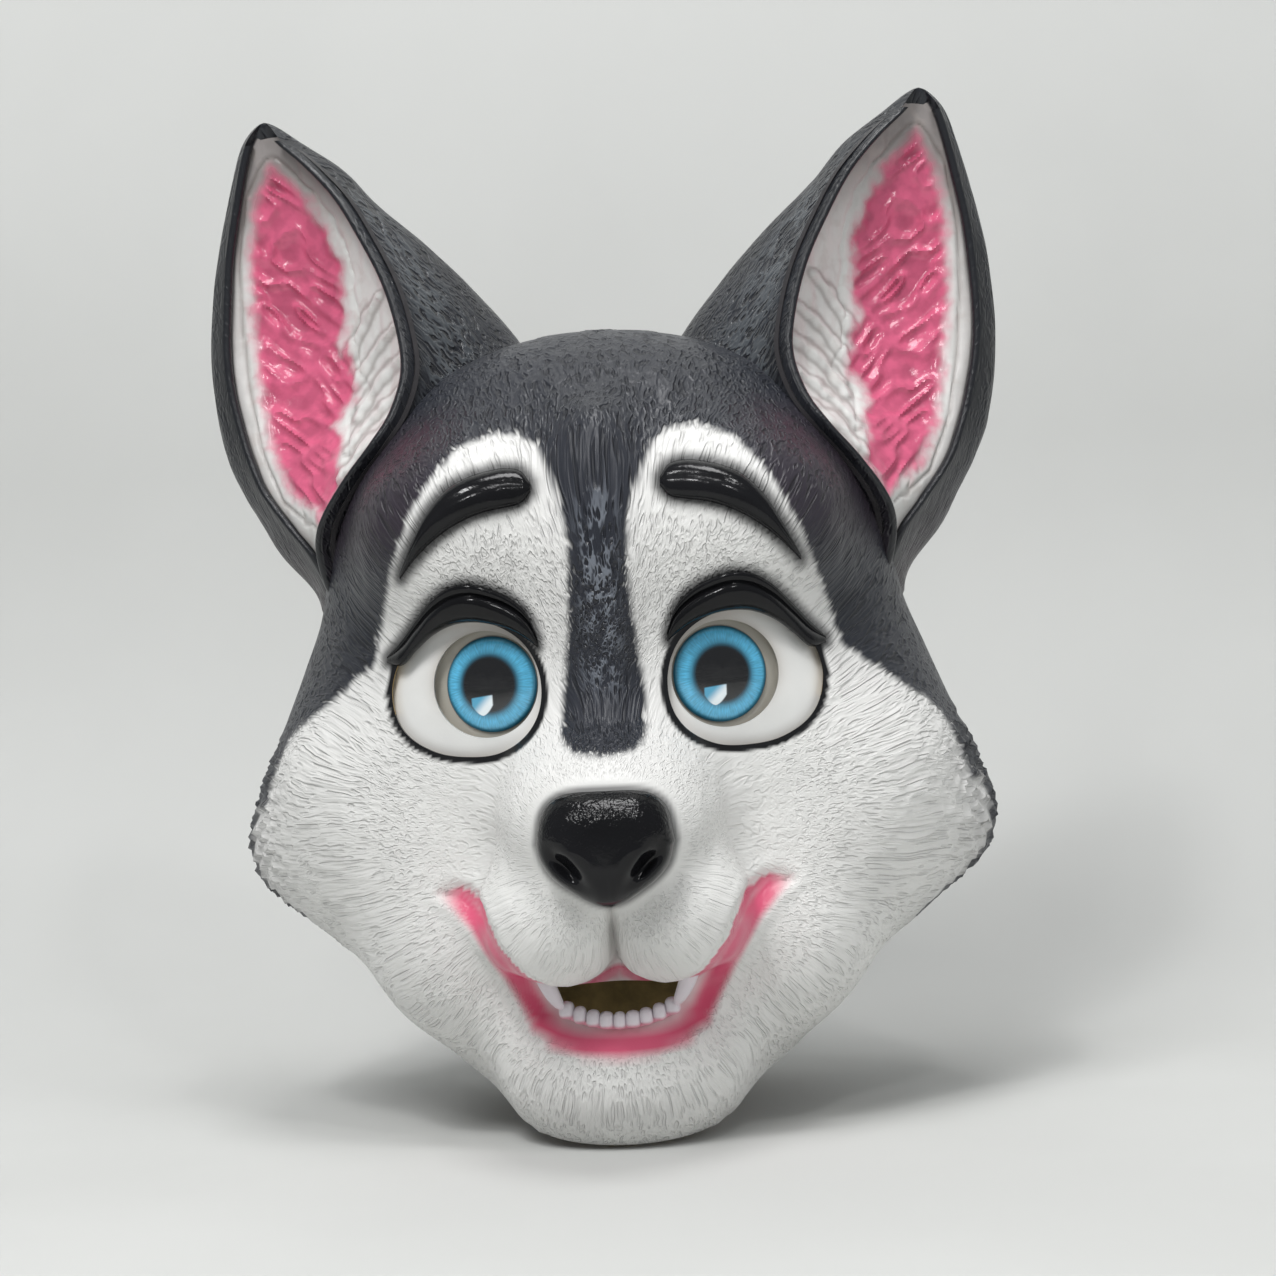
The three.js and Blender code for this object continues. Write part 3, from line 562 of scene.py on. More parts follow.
def positions(piece):
    """The piece's points in millimetres with the chin at z 0."""
    count = len(piece.data.vertices)
    co = np.empty(count * 3, np.float32)
    piece.data.vertices.foreach_get("co", co)
    p = co.reshape(-1, 3).astype(float) * 1000.0
    p[:, 2] += SEAT
    return p


def paint(piece, name, values):
    """Stores one painted mask on the piece's points."""
    data = piece.data.attributes.new(name, "FLOAT", "POINT")
    data.data.foreach_set("value", np.asarray(values, np.float32).ravel())


def finish_piece(piece, node, slot_name, *materials):
    """Gives the piece its materials and says what it rides on and replaces."""
    for material in materials:
        piece.data.materials.append(material)
    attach(piece, "root")
    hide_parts(node)


def finish_pair(left, title, node, slot_name, coat):
    """Finishes a left piece and its mirrored copy on the right."""
    right = mirrored_copy(left, f"{title}_right")
    finish_piece(left, f"{node}_left", slot_name, coat)
    finish_piece(right, f"{node}_right", slot_name, coat)


# Shader graphs

class Graph:
    """Adds nodes to a tree and links them."""

    def __init__(self, tree):
        self.tree = tree
        self.column = 0

    def add(self, kind, inputs=None, **settings):
        node = self.tree.nodes.new(kind)
        node.location = (self.column * 180, -(self.column % 5) * 160)
        self.column += 1
        for key, value in settings.items():
            setattr(node, key, value)
        for key, value in (inputs or {}).items():
            self.feed(node.inputs[key], value)
        return node

    def feed(self, socket, value):
        if isinstance(value, bpy.types.NodeSocket):
            self.tree.links.new(value, socket)
        else:
            socket.default_value = value

    def math(self, operation, a, b=0.0):
        return self.add("ShaderNodeMath", {0: a, 1: b}, operation=operation).outputs[0]

    def plus(self, a, b):
        return self.math("ADD", a, b)

    def minus(self, a, b):
        return self.math("SUBTRACT", a, b)

    def times(self, a, b):
        return self.math("MULTIPLY", a, b)

    def vector(self, operation, a, b=(0, 0, 0)):
        node = self.add("ShaderNodeVectorMath", {0: a, 1: b}, operation=operation)
        return node.outputs[0]

    def scaled(self, a, factor):
        node = self.add("ShaderNodeVectorMath", {0: a, "Scale": factor}, operation="SCALE")
        return node.outputs[0]

    def length(self, a):
        return self.add("ShaderNodeVectorMath", {0: a}, operation="LENGTH").outputs["Value"]

    def mask(self, value, low, high, bottom=0.0, top=1.0):
        """Smooth step of a value from low to high."""
        inputs = {"Value": value, 1: low, 2: high, 3: bottom, 4: top}
        node = self.add("ShaderNodeMapRange", inputs, interpolation_type="SMOOTHSTEP")
        return node.outputs[0]

    def mix(self, factor, a, b):
        """Blends two colours."""
        node = self.add("ShaderNodeMix", data_type="RGBA")
        self.feed(node.inputs[0], factor)
        self.feed(node.inputs[6], a)
        self.feed(node.inputs[7], b)
        return node.outputs[2]

    def blend(self, factor, a, b):
        """Blends two numbers."""
        node = self.add("ShaderNodeMix", data_type="FLOAT")
        self.feed(node.inputs[0], factor)
        self.feed(node.inputs[2], a)
        self.feed(node.inputs[3], b)
        return node.outputs[0]

    def noise(self, vector, scale, detail=2.0, roughness=0.5, w=None):
        dimensions = "3D" if w is None else "4D"
        node = self.add("ShaderNodeTexNoise", noise_dimensions=dimensions)
        inputs = {"Vector": vector, "Scale": scale, "Detail": detail, "Roughness": roughness}
        if w is not None:
            inputs["W"] = w
        for key, value in inputs.items():
            self.feed(node.inputs[key], value)
        return node.outputs[0]

    def painted(self, name):
        return self.add("ShaderNodeAttribute", attribute_name=name).outputs["Fac"]

    def place(self):
        return self.add("ShaderNodeTexCoord").outputs["Object"]

    def group(self, tree, inputs):
        node = self.add("ShaderNodeGroup", node_tree=tree)
        for key, value in inputs.items():
            self.feed(node.inputs[key], value)
        return node


def new_group(name, inputs, outputs):
    """A shader node group with named sockets, and its input and output nodes."""
    tree = bpy.data.node_groups.new(name, "ShaderNodeTree")
    for key, kind, value in inputs:
        socket = tree.interface.new_socket(name=key, in_out="INPUT", socket_type=kind)
        socket.default_value = value
    for key, kind in outputs:
        tree.interface.new_socket(name=key, in_out="OUTPUT", socket_type=kind)
    graph = Graph(tree)
    return graph, graph.add("NodeGroupInput"), graph.add("NodeGroupOutput")


def fur_strokes_group():
    """Short strokes pressed into the latex, that fan out from a centre."""
    if "Fur Strokes" in bpy.data.node_groups:
        return bpy.data.node_groups["Fur Strokes"]
    g, given, result = new_group(
        "Fur Strokes",
        [
            ("Centre", "NodeSocketVector", (0.0, -0.16, -0.2)),
            ("Across", "NodeSocketFloat", 50.0),
            ("Along", "NodeSocketFloat", 12.0),
            ("Seed", "NodeSocketFloat", 0.0),
        ],
        [("Height", "NodeSocketFloat"), ("Stroke Groove", "NodeSocketFloat")],
    )
    curl = 0.007
    away = g.vector("SUBTRACT", g.place(), given.outputs["Centre"])
    wander = g.noise(g.place(), 26.0, detail=1.0)
    sway = g.add("ShaderNodeCombineXYZ", {0: wander, 1: wander, 2: wander}).outputs[0]
    sway = g.vector("SUBTRACT", sway, (0.5, 0.5, 0.5))
    away = g.vector("ADD", away, g.scaled(sway, curl))
    way = g.vector("NORMALIZE", away)
    rise = g.math("LOGARITHM", g.length(away), 2.718)
    along_fur = g.plus(g.times(rise, given.outputs["Along"]), given.outputs["Seed"])
    fan = g.scaled(way, given.outputs["Across"])
    strokes = g.noise(fan, 1.0, detail=0.6, roughness=0.4, w=along_fur)
    wide = g.noise(g.scaled(fan, 0.42), 1.0, detail=0.0, w=g.times(along_fur, 0.5))
    # the stroke groove is the pressed part of each stroke; the paints darken it as painted shade
    stroke_groove = g.mask(strokes, 0.5, 0.72)
    ridge = g.mask(strokes, 0.3, 0.52)
    height = g.plus(g.times(stroke_groove, -0.7), g.times(ridge, 0.25))
    g.feed(result.inputs["Height"], g.plus(height, g.times(wide, 0.8)))
    g.feed(result.inputs["Stroke Groove"], stroke_groove)
    return g.tree


def latex_skin_group():
    """Fine pores, soft swells and uneven gloss of brushed latex."""
    if "Latex Skin" in bpy.data.node_groups:
        return bpy.data.node_groups["Latex Skin"]
    outputs = [(name, "NodeSocketFloat") for name in ("Roughness", "Height", "Shade")]
    inputs = [("Gloss", "NodeSocketFloat", 0.4), ("Uneven", "NodeSocketFloat", 0.1)]
    g, given, result = new_group("Latex Skin", inputs, outputs)
    glossiest = 0.04
    place = g.place()
    pores = g.noise(place, 1400.0, detail=2.0)
    swell = g.noise(place, 95.0, detail=3.0)
    cloud = g.noise(place, 22.0, detail=3.0)
    spread = g.minus(g.plus(g.times(swell, 0.6), g.times(cloud, 0.6)), 0.6)
    rough = g.plus(given.outputs["Gloss"], g.times(spread, given.outputs["Uneven"]))
    g.feed(result.inputs["Roughness"], g.math("MAXIMUM", rough, glossiest))
    g.feed(result.inputs["Height"], g.plus(g.times(pores, 0.12), g.times(swell, 0.9)))
    g.feed(result.inputs["Shade"], g.mask(cloud, 0.3, 0.7))
    return g.tree


def new_material(name):
    """A material with its graph and its Principled shader."""
    material = bpy.data.materials.new(name)
    material.use_nodes = True
    return material, Graph(material.node_tree), material.node_tree.nodes["Principled BSDF"]


def dress(g, shader, colour, rough, height, depth):
    """Feeds a shader its colour, its roughness and a bump of a depth in millimetres."""
    g.feed(shader.inputs["Base Color"], colour)
    g.feed(shader.inputs["Roughness"], rough)
    node = g.add("ShaderNodeBump", {"Height": height, "Distance": depth / 1000.0})
    g.feed(shader.inputs["Normal"], node.outputs[0])


def shade(color, factor):
    """The colour made darker or lighter by a factor."""
    return tuple(c * factor for c in color[:3]) + (1.0,)


def hood_paint(colours, sizes):
    """White and charcoal sprayed latex with pressed fur, pink lips and black round the eyes."""
    material, g, shader = new_material("Hood paint")
    fur = fur_strokes_group()
    nose_tip = (0.0, -0.165, (115.0 - SEAT) / 1000)
    above = (0.0, 0.0, 0.14)
    fine = g.group(fur, {"Centre": nose_tip, "Across": 104.0, "Along": 6.0})
    near = g.group(fur, {"Centre": nose_tip, "Across": 54.0, "Along": 3.4, "Seed": 7.0})
    rear = g.group(fur, {"Centre": above, "Across": 150.0, "Along": 24.0, "Seed": 3.0})
    split = g.add("ShaderNodeSeparateXYZ", {0: g.place()})
    back = g.mask(split.outputs[1], 0.0, 0.045)
    close = g.painted("near")
    height = g.blend(close, fine.outputs["Height"], near.outputs["Height"])
    height = g.blend(back, height, rear.outputs["Height"])
    stroke_groove = g.blend(close, fine.outputs["Stroke Groove"], near.outputs["Stroke Groove"])
    stroke_groove = g.blend(back, stroke_groove, rear.outputs["Stroke Groove"])
    furred = g.painted("fur")
    stroke_groove = g.times(stroke_groove, furred)
    skin = g.group(latex_skin_group(), {"Gloss": sizes.hood_roughness, "Uneven": 0.22})
    ragged = g.times(g.minus(height, 0.25), 2.6)
    dark = g.mask(g.plus(g.painted("dark"), ragged), -1.6, 2.2)
    white = g.mix(skin.outputs["Shade"], shade(colours.white, 0.93), colours.white)
    # painted shade: the white darkens in the pressed stroke grooves
    white = g.mix(g.times(stroke_groove, 0.14), white, shade(colours.white, 0.6))
    # painted shade grey on the outer cheeks, and a grey that fades out from the dark patches
    white = g.mix(g.times(g.painted("shade_and_edge_grey"), 0.55), white, SHADE_AND_EDGE_GREY)
    coal = g.mix(g.painted("plum"), colours.charcoal, colours.plum)
    coal = g.mix(g.times(skin.outputs["Shade"], 0.3), coal, shade(colours.charcoal, 1.5))
    # painted shade: the charcoal darkens in the pressed stroke grooves
    coal = g.mix(g.times(stroke_groove, 0.45), coal, shade(colours.charcoal, 0.3))
    gloss_and_highlight = g.painted("gloss_and_highlight")
    # painted highlight: pale blue-grey on the raised stroke ridges down the bridge, where the paint is
    # also glossier
    painted_highlight = g.times(gloss_and_highlight, g.mask(height, 0.5, 0.7))
    coal = g.mix(g.times(painted_highlight, 0.45), coal, (0.3, 0.33, 0.38, 1.0))
    pink = g.painted("pink")
    line = g.painted("eye_line")
    colour = g.mix(dark, white, coal)
    colour = g.mix(g.times(pink, 0.97), colour, LIP_PINK)
    colour = g.mix(g.painted("halo"), colour, SOOT)
    colour = g.mix(line, colour, DEEP_BLACK)
    rough = g.plus(skin.outputs["Roughness"], g.times(stroke_groove, 0.12))
    rough = g.blend(dark, g.plus(rough, 0.06), g.minus(rough, 0.03))
    rough = g.blend(gloss_and_highlight, rough, 0.17)
    rough = g.blend(g.math("MAXIMUM", line, pink), rough, 0.28)
    height = g.plus(g.times(height, furred), g.times(skin.outputs["Height"], 0.16))
    dress(g, shader, colour, rough, height, millimetres(sizes.fur_depth))
    shader.inputs["IOR"].default_value = 1.48
    return material


def raw_latex(colours):
    """Unpainted olive-brown latex of the inside, with brush ripples."""
    material, g, shader = new_material("Raw latex inside")
    skin = g.group(latex_skin_group(), {"Gloss": 0.5, "Uneven": 0.2})
    ripple = g.noise(g.place(), 60.0, detail=4.0, roughness=0.6)
    colour = g.mix(g.mask(ripple, 0.3, 0.7), shade(colours.raw, 0.65), shade(colours.raw, 1.25))
    dress(g, shader, colour, skin.outputs["Roughness"], g.plus(ripple, skin.outputs["Height"]), 0.8)
    return material


def ear_paint(colours, sizes):
    """Charcoal latex of the ears, strokes running up towards the tip."""
    material, g, shader = new_material("Ear paint")
    root = (0.0, 0.06, -0.26)
    fur = g.group(fur_strokes_group(), {"Centre": root, "Across": 150.0, "Along": 18.0, "Seed": 11.0})
    skin = g.group(latex_skin_group(), {"Gloss": sizes.hood_roughness - 0.06, "Uneven": 0.2})
    height, stroke_groove = fur.outputs["Height"], fur.outputs["Stroke Groove"]
    gloss_and_highlight = g.painted("gloss_and_highlight")
    rim = g.painted("rim")
    coal = g.mix(skin.outputs["Shade"], shade(colours.charcoal, 0.55), shade(colours.charcoal, 0.95))
    coal = g.mix(g.painted("plum"), coal, colours.plum)
    # painted shade: the ear charcoal darkens in the pressed stroke grooves
    coal = g.mix(g.times(stroke_groove, 0.5), coal, shade(colours.charcoal, 0.3))
    # painted highlight: pale grey on the raised stroke ridges along the front inner edge
    painted_highlight = g.times(gloss_and_highlight, g.mask(height, 0.42, 0.6))
    coal = g.mix(g.times(painted_highlight, 0.2), coal, (0.25, 0.28, 0.3, 1.0))
    coal = g.mix(rim, coal, (0.012, 0.013, 0.016, 1.0))
    rough = g.blend(gloss_and_highlight, skin.outputs["Roughness"], 0.24)
    height = g.times(height, g.minus(1.0, g.times(rim, 0.8)))
    height = g.plus(height, g.times(skin.outputs["Height"], 0.2))
    dress(g, shader, coal, rough, height, millimetres(sizes.fur_depth))
    return material


def lining_paint(colours):
    """Off-white lining, a glossy wrinkled pink patch, grey painted shade towards the tip and along the
    rims, and painted shade in its creases and wrinkle valleys.
    """
    material, g, shader = new_material("Ear lining paint")
    skin = g.group(latex_skin_group(), {"Gloss": 0.36, "Uneven": 0.25})
    grain = g.noise(g.place(), 150.0, detail=2.0)
    ragged = g.times(g.minus(grain, 0.5), 6.0)
    pink = g.mask(g.plus(g.painted("patch"), ragged), -3.6, 4.2)
    # painted shade: grey towards the tip and along the rims
    base = g.mix(g.painted("tip_and_rim_shade"), shade(colours.white, 0.9), (0.2, 0.175, 0.17, 1.0))
    base = g.mix(g.times(g.mask(grain, 0.5, 0.7), 0.25), base, (0.42, 0.36, 0.33, 1.0))
    # painted shade: dark in the undercuts beside the tufts and along the incised outline
    base = g.mix(g.times(g.painted("crease_shade"), 0.65), base, (0.16, 0.13, 0.12, 1.0))
    rose = g.mix(g.mask(grain, 0.35, 0.65), shade(colours.pink, 0.8), colours.pink)
    # painted shade: darker pink in the valleys between the wrinkles
    rose = g.mix(g.painted("fold"), rose, shade(colours.pink, 0.45))
    colour = g.mix(pink, base, rose)
    colour = g.mix(g.painted("seam"), colour, (0.03, 0.028, 0.03, 1.0))
    rough = g.blend(pink, skin.outputs["Roughness"], 0.2)
    height = g.plus(g.times(grain, 0.7), g.times(skin.outputs["Height"], 0.3))
    dress(g, shader, colour, rough, height, 0.6)
    return material


def eye_white_paint():
    """Smooth white shell with a brownish shade round the hole and the rim."""
    material, g, shader = new_material("Eye white paint")
    skin = g.group(latex_skin_group(), {"Gloss": 0.34, "Uneven": 0.12})
    white = g.mix(skin.outputs["Shade"], (0.74, 0.74, 0.72, 1.0), (0.82, 0.82, 0.8, 1.0))
    white = g.mix(g.times(g.painted("shadow"), 0.6), white, (0.36, 0.31, 0.26, 1.0))
    dress(g, shader, white, skin.outputs["Roughness"], skin.outputs["Height"], 0.3)
    return material


def iris_paint(colours):
    """Blue iris with a darker rim, a soft black pupil and a painted highlight low in the pupil, under a
    clear gloss.
    """
    material, g, shader = new_material("Iris paint")
    out, across, up = (g.painted(name) for name in ("out", "across", "up"))
    spokes = g.add("ShaderNodeCombineXYZ", {0: g.painted("turn"), 1: g.times(out, 0.05)}).outputs[0]
    flecks = g.noise(spokes, 5.0, detail=3.0)
    deep = shade(colours.iris, 0.3)
    blue = g.mix(g.mask(flecks, 0.3, 0.7), shade(colours.iris, 0.8), shade(colours.iris, 1.15))
    blue = g.mix(g.mask(out, 10.5, 14.5, 1.0, 0.0), blue, deep)
    blue = g.mix(g.mask(out, 16.2, 18.4), blue, deep)
    colour = g.mix(g.mask(out, 9.8, 12.4), (0.003, 0.003, 0.004, 1.0), blue)
    # painted highlight: a rounded window-shaped catchlight low in the pupil, white above and blue below
    highlight_side = g.math("ABSOLUTE", g.plus(across, 3.0))
    tall = g.math("MAXIMUM", g.times(g.plus(up, 12.0), 0.135), 0.0)
    highlight_edge = g.minus(g.times(g.math("SQRT", tall), 6.6), 0.6)
    highlight_edge = g.math("MINIMUM", highlight_edge, 4.3)
    top = g.mask(g.minus(up, g.times(across, 0.12)), -4.6, -3.9, 1.0, 0.0)
    wide = g.mask(g.minus(highlight_side, highlight_edge), -0.4, 0.4, 1.0, 0.0)
    fade = g.mask(g.minus(up, across), -7.5, -1.5)
    highlight_tint = g.mix(fade, (0.85, 0.92, 0.95, 1.0), shade(colours.iris, 0.8))
    colour = g.mix(g.times(wide, top), colour, highlight_tint)
    colour = g.mix(g.mask(out, 18.3, 18.8), colour, (0.46, 0.43, 0.37, 1.0))
    dress(g, shader, colour, g.plus(g.times(flecks, 0.05), 0.06), flecks, 0.1)
    shader.inputs["Coat Weight"].default_value = 1.0
    shader.inputs["Coat Roughness"].default_value = 0.03
    return material


def gloss_black(colours, name, grain_scale, grain_depth):
    """Thick glossy black latex, with a pebbled or brushed surface."""
    material, g, shader = new_material(name)
    skin = g.group(latex_skin_group(), {"Gloss": 0.16, "Uneven": 0.16})
    grain = g.noise(g.place(), grain_scale, detail=2.0, roughness=0.6)
    black = g.mix(skin.outputs["Shade"], shade(colours.black, 0.6), shade(colours.black, 1.3))
    height = g.plus(g.times(grain, g.painted("grain")), g.times(skin.outputs["Height"], 0.12))
    dress(g, shader, black, skin.outputs["Roughness"], height, grain_depth)
    shader.inputs["IOR"].default_value = 1.36
    return material


def tooth_paint(colours):
    """Slightly pinkish white enamel that turns pink at the gum."""
    material, g, shader = new_material("Tooth paint")
    skin = g.group(latex_skin_group(), {"Gloss": 0.3, "Uneven": 0.12})
    white = g.mix(skin.outputs["Shade"], shade(colours.tooth, 0.92), colours.tooth)
    gum = g.mix(skin.outputs["Shade"], shade(colours.pink, 0.9), shade(colours.pink, 1.2))
    colour = g.mix(g.painted("gum"), white, gum)
    dress(g, shader, colour, skin.outputs["Roughness"], skin.outputs["Height"], 0.3)
    return material


# Pieces

def rim_tilt(core, turn):
    """Tilt of the ray, by bisection, at which the head's surface meets the neck rim."""
    high = np.full(turn.shape, 0.45 * math.pi)
    low = np.full(turn.shape, 0.98 * math.pi)
    for _ in range(14):
        middle = (high + low) / 2
        p = cast(core, ray_way(turn, middle))
        above = p[..., 2] > rim_height(p[..., 1])
        high = np.where(above, middle, high)
        low = np.where(above, low, middle)
    return (high + low) / 2


def ray_way(turn, tilt):
    """Direction of a ray, turned from the face round the head and tilted down from the crown."""
    level = np.sin(tilt)
    return np.stack([level * np.sin(turn), -level * np.cos(turn), np.cos(tilt)], axis=-1)


def mouth_area(x, z):
    """Distance into the pink area between the jowls and the lower lip, negative outside it."""
    return outline_depth(list(JOWL_EDGE) + list(LIP_EDGE[::-1]), x, z)


def bell(distance, width):
    """Falls smoothly from 1 to 0 away from a line."""
    return np.exp(-((distance / width) ** 2))


def saw(value):
    """Rises from 0 to 1 again and again, like overlapping tufts."""
    return value - np.floor(value)


def hood_relief(p):
    """How far the carved face stands out of its plain form, in millimetres."""
    x, y, z = np.abs(p[..., 0]), p[..., 1], p[..., 2]
    front = smoothstep(-70, -84, y)
    mouth = mouth_area(x, z)
    jowl = path_distance(JOWL_EDGE, x, z)
    lip = path_distance(LIP_EDGE, x, z)
    relief = -LIP_DEPTH * smoothstep(0, 5, mouth) * front
    relief -= LIP_DEPTH * bell(jowl, 2.9) * front
    fold = 1.2 * smoothstep(9, 2.5, jowl) * smoothstep(0.5, 3.0, jowl) * (mouth < 0)
    relief += fold * (z > 58) * front * smoothstep(66, 50, x)
    relief += 1.3 * bell(lip - 2.2, 2.4) * front * (mouth < 0)
    slit = smoothstep(62, 68, z) * smoothstep(98, 92, z) * smoothstep(-112, -120, y)
    relief -= 1.9 * bell(x, 1.2) * slit
    relief += 1.0 * bell(x - 6.0, 4.5) * slit
    tuft_pitch = 9.5
    flow = (0.35 * x - z) / tuft_pitch + 3.0 * lumps(y / 9 + 20, z / 16 + 20, 4)
    cheek = smoothstep(92, 122, x) * smoothstep(38, 62, z) * smoothstep(168, 140, z)
    relief += (0.9 + 1.5 * smoothstep(128, 142, x)) * saw(flow) ** 1.6 * cheek
    brushed = lumps(x / 3.4 + 9, (z + 0.4 * y) / 10 + 9, 8) - 0.5
    relief += 0.7 * brushed * smoothstep(-60, -75, y) * smoothstep(20, 40, x)
    crown = smoothstep(276, 296, z)
    chevron = (z + 0.6 * x - 0.25 * y) / 8 + 0.6 * lumps(x / 9, y / 9 + 30, 5)
    relief += 0.6 * saw(chevron) * crown
    return relief


def hood_masks(piece):
    """Painted masks of the hood, worked out from where each point lies."""
    p = positions(piece)
    x, y, z = np.abs(p[:, 0]), p[:, 1], p[:, 2]
    front = smoothstep(-55, -65, y)
    outer_edge = [(170.0, 130.0), (170.0, -20.0), (-30.0, -20.0), (-30.0, 149.5)]
    white = outline_depth(list(PATCH_EDGE[::-1]) + list(CHEEK_EDGE[::-1]) + outer_edge, x, z)
    back_limit = -20.0 + 56.0 * smoothstep(82, 46, z)
    white = np.minimum(white, (back_limit - y) * 0.55)
    paint(piece, "dark", np.clip(-white, -20, 20))
    # painted shade: grey on the outer cheeks as they turn away to the sides, plus a grey that fades out
    # from the dark patches
    shade_and_edge_grey = smoothstep(100, 150, x) * smoothstep(-60, -15, y) + 0.35 * smoothstep(-14, -1, -white)
    paint(piece, "shade_and_edge_grey", np.clip(shade_and_edge_grey * 0.5, 0, 0.6))
    eye = -outline_depth([tuple(q) for q in eye_outline(0, 72)], x, z)
    paint(piece, "eye_line", smoothstep(3.0, 2.2, eye) * front)
    brow = -outline_depth(band_outline(BROW), x, z)
    lid = -outline_depth(band_outline(LID), x, z)
    nose_x, nose_z = nose_ring(48)
    nose = -outline_depth(list(zip(nose_x, nose_z + NOSE_UP)), x, z)
    halo = np.maximum(smoothstep(5.5, 0.2, brow) * 0.9, smoothstep(4.5, 0.3, lid) * 0.85)
    halo = np.maximum(halo, smoothstep(3.0, 0.2, nose) * 0.8 * (y < -110))
    paint(piece, "halo", halo * front)
    mouth = mouth_area(x, z)
    lip_gap = path_distance(LIP_EDGE, x, z)
    lip = lip_gap * np.where(mouth > 0, 1, -1)
    under = smoothstep(-1.0, 2.0, mouth + 3.0 * (lip_gap < 4))
    pink = smoothstep(-3.2, 1.2, lip) * (1 - 0.8 * smoothstep(4.5, 9.5, lip)) * under
    jowl = path_distance(JOWL_EDGE, x, z)
    pink = np.maximum(pink, 0.9 * smoothstep(4.5, 1.0, jowl) * (mouth > -0.8))
    pink = pink * smoothstep(70, 58, x) * smoothstep(-62, -72, y) * smoothstep(34, 38, z + 4)
    paint(piece, "pink", pink)
    beside_ears = smoothstep(45, 75, x) * smoothstep(215, 240, z) * smoothstep(292, 270, z)
    paint(piece, "plum", 0.7 * beside_ears)
    # gloss, and a painted highlight on the stroke ridges, down the middle of the bridge
    bridge = smoothstep(11, 3, x) * smoothstep(165, 185, z) * smoothstep(262, 235, z)
    paint(piece, "gloss_and_highlight", bridge * front)
    paint(piece, "near", smoothstep(78, 55, np.hypot(x, z - 115)))
    plain = np.maximum(smoothstep(7, 2, nose), smoothstep(4, 1.5, eye))
    plain = np.maximum(plain, smoothstep(-1, 2, mouth) * front)
    calm = 0.5 + 0.5 * smoothstep(58, 112, np.hypot(x, z - 112))
    calm = np.where(y > -40, 1.0, np.maximum(calm, smoothstep(-3, 3, -white)))
    paint(piece, "fur", (1 - plain * front) * calm)


def hood_body():
    """The hollow skin: a star-shaped grid of rays from inside the head, its inner sheet and its rim."""
    around, down = ((336, 232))
    core = np.array([0.0, -0.05 * FACE, 0.47 * HEIGHT])
    even = 2 * math.pi * np.arange(around) / around
    turn = even - 0.52 * np.sin(even)  # closer together on the face
    share = ((np.arange(down) + 1) / down) ** 0.85
    tilt = share[:, None] * rim_tilt(core, turn)[None, :]
    surface = cast(core, ray_way(np.broadcast_to(turn, tilt.shape), tilt))
    normals = head_normal(surface)
    relief = hood_relief(surface)
    outer = surface + normals * relief[..., None]
    # the inner sheet follows the deepest carving close by, so that no groove cuts through the wall
    carved = np.minimum(relief, 0)
    for axis, step in ((0, 1), (0, -1), (1, 1), (1, -1), (0, 2), (0, -2)):
        carved = np.minimum(carved, np.roll(carved, step, axis=axis))
    sunk = surface + normals * (carved - WALL)[..., None]
    inner = np.concatenate([sunk[2:-3:3, ::2], sunk[-1:, ::2]])
    edge = surface[-1] - normals[-1] * WALL / 2
    edge[:, 2] -= 0.9
    top = cast(core, np.array([[0.0, 0.0, 1.0]]))
    points = [outer.reshape(-1, 3), inner.reshape(-1, 3), edge, top, top - (0, 0, WALL)]
    starts = np.cumsum([0] + [len(p) for p in points])
    faces = grid_faces(down, around, closed=True, flip=True)
    half = around // 2
    faces += grid_faces(len(inner), half, closed=True, start=starts[1])
    for c in range(around):
        n = (c + 1) % around
        faces.append((c, n, starts[3]))
        a, b = (down - 1) * around + c, (down - 1) * around + n
        faces.append((b, a, starts[2] + c, starts[2] + n))
    low = starts[1] + (len(inner) - 1) * half
    for c in range(half):
        n = (c + 1) % half
        faces.append((starts[1] + n, starts[1] + c, starts[4]))
        a, b, d = (starts[2] + (2 * c + k) % around for k in range(3))
        faces.append((b, a, low + c))
        faces.append((b, low + c, low + n))
        faces.append((d, b, low + n))
    return outward(make_mesh("Hood", np.concatenate(points), faces, smooth=0))


def ear_way(side, corners=40):
    """The round cutter that opens the hood into one ear."""
    start = Vector((side * 0.3 * HALF_WIDTH, 0.14 * FACE, 0.78 * HEIGHT))
    way = Vector((side * 0.9 * HALF_WIDTH, 0, 0.46 * HEIGHT)).normalized()
    flat = way.cross(Vector((0, 1, 0)))
    ring = []
    for k in range(corners):
        angle = k * math.pi / (corners / 2)
        rise = Vector((0, EAR_WAY_RADIUS * math.sin(angle), 0))
        ring.append(flat * EAR_WAY_RADIUS * math.cos(angle) + rise)
    ends = [tuple(start + q) for q in ring] + [tuple(start + way * 90 + q) for q in ring]
    sides = [tuple(range(corners)), tuple(range(2 * corners - 1, corners - 1, -1))]
    for k in range(corners):
        n = (k + 1) % corners
        sides.append((k, k + corners, n + corners, n))
    return outward(make_mesh("cutter", ends, sides, smooth=0))


def mouth_cutter(corners=72):
    """The cutter of the mouth opening, an oval with a sagging middle."""
    outline = []
    for k in range(corners):
        angle = k * math.pi / (corners / 2)
        sag = 0.28 * 13 * math.cos(angle) ** 2
        outline.append((28 * math.cos(angle), 0.172 * HEIGHT + 6.5 * math.sin(angle) + sag))
    return prism(outline, -1.16 * FACE, -31)


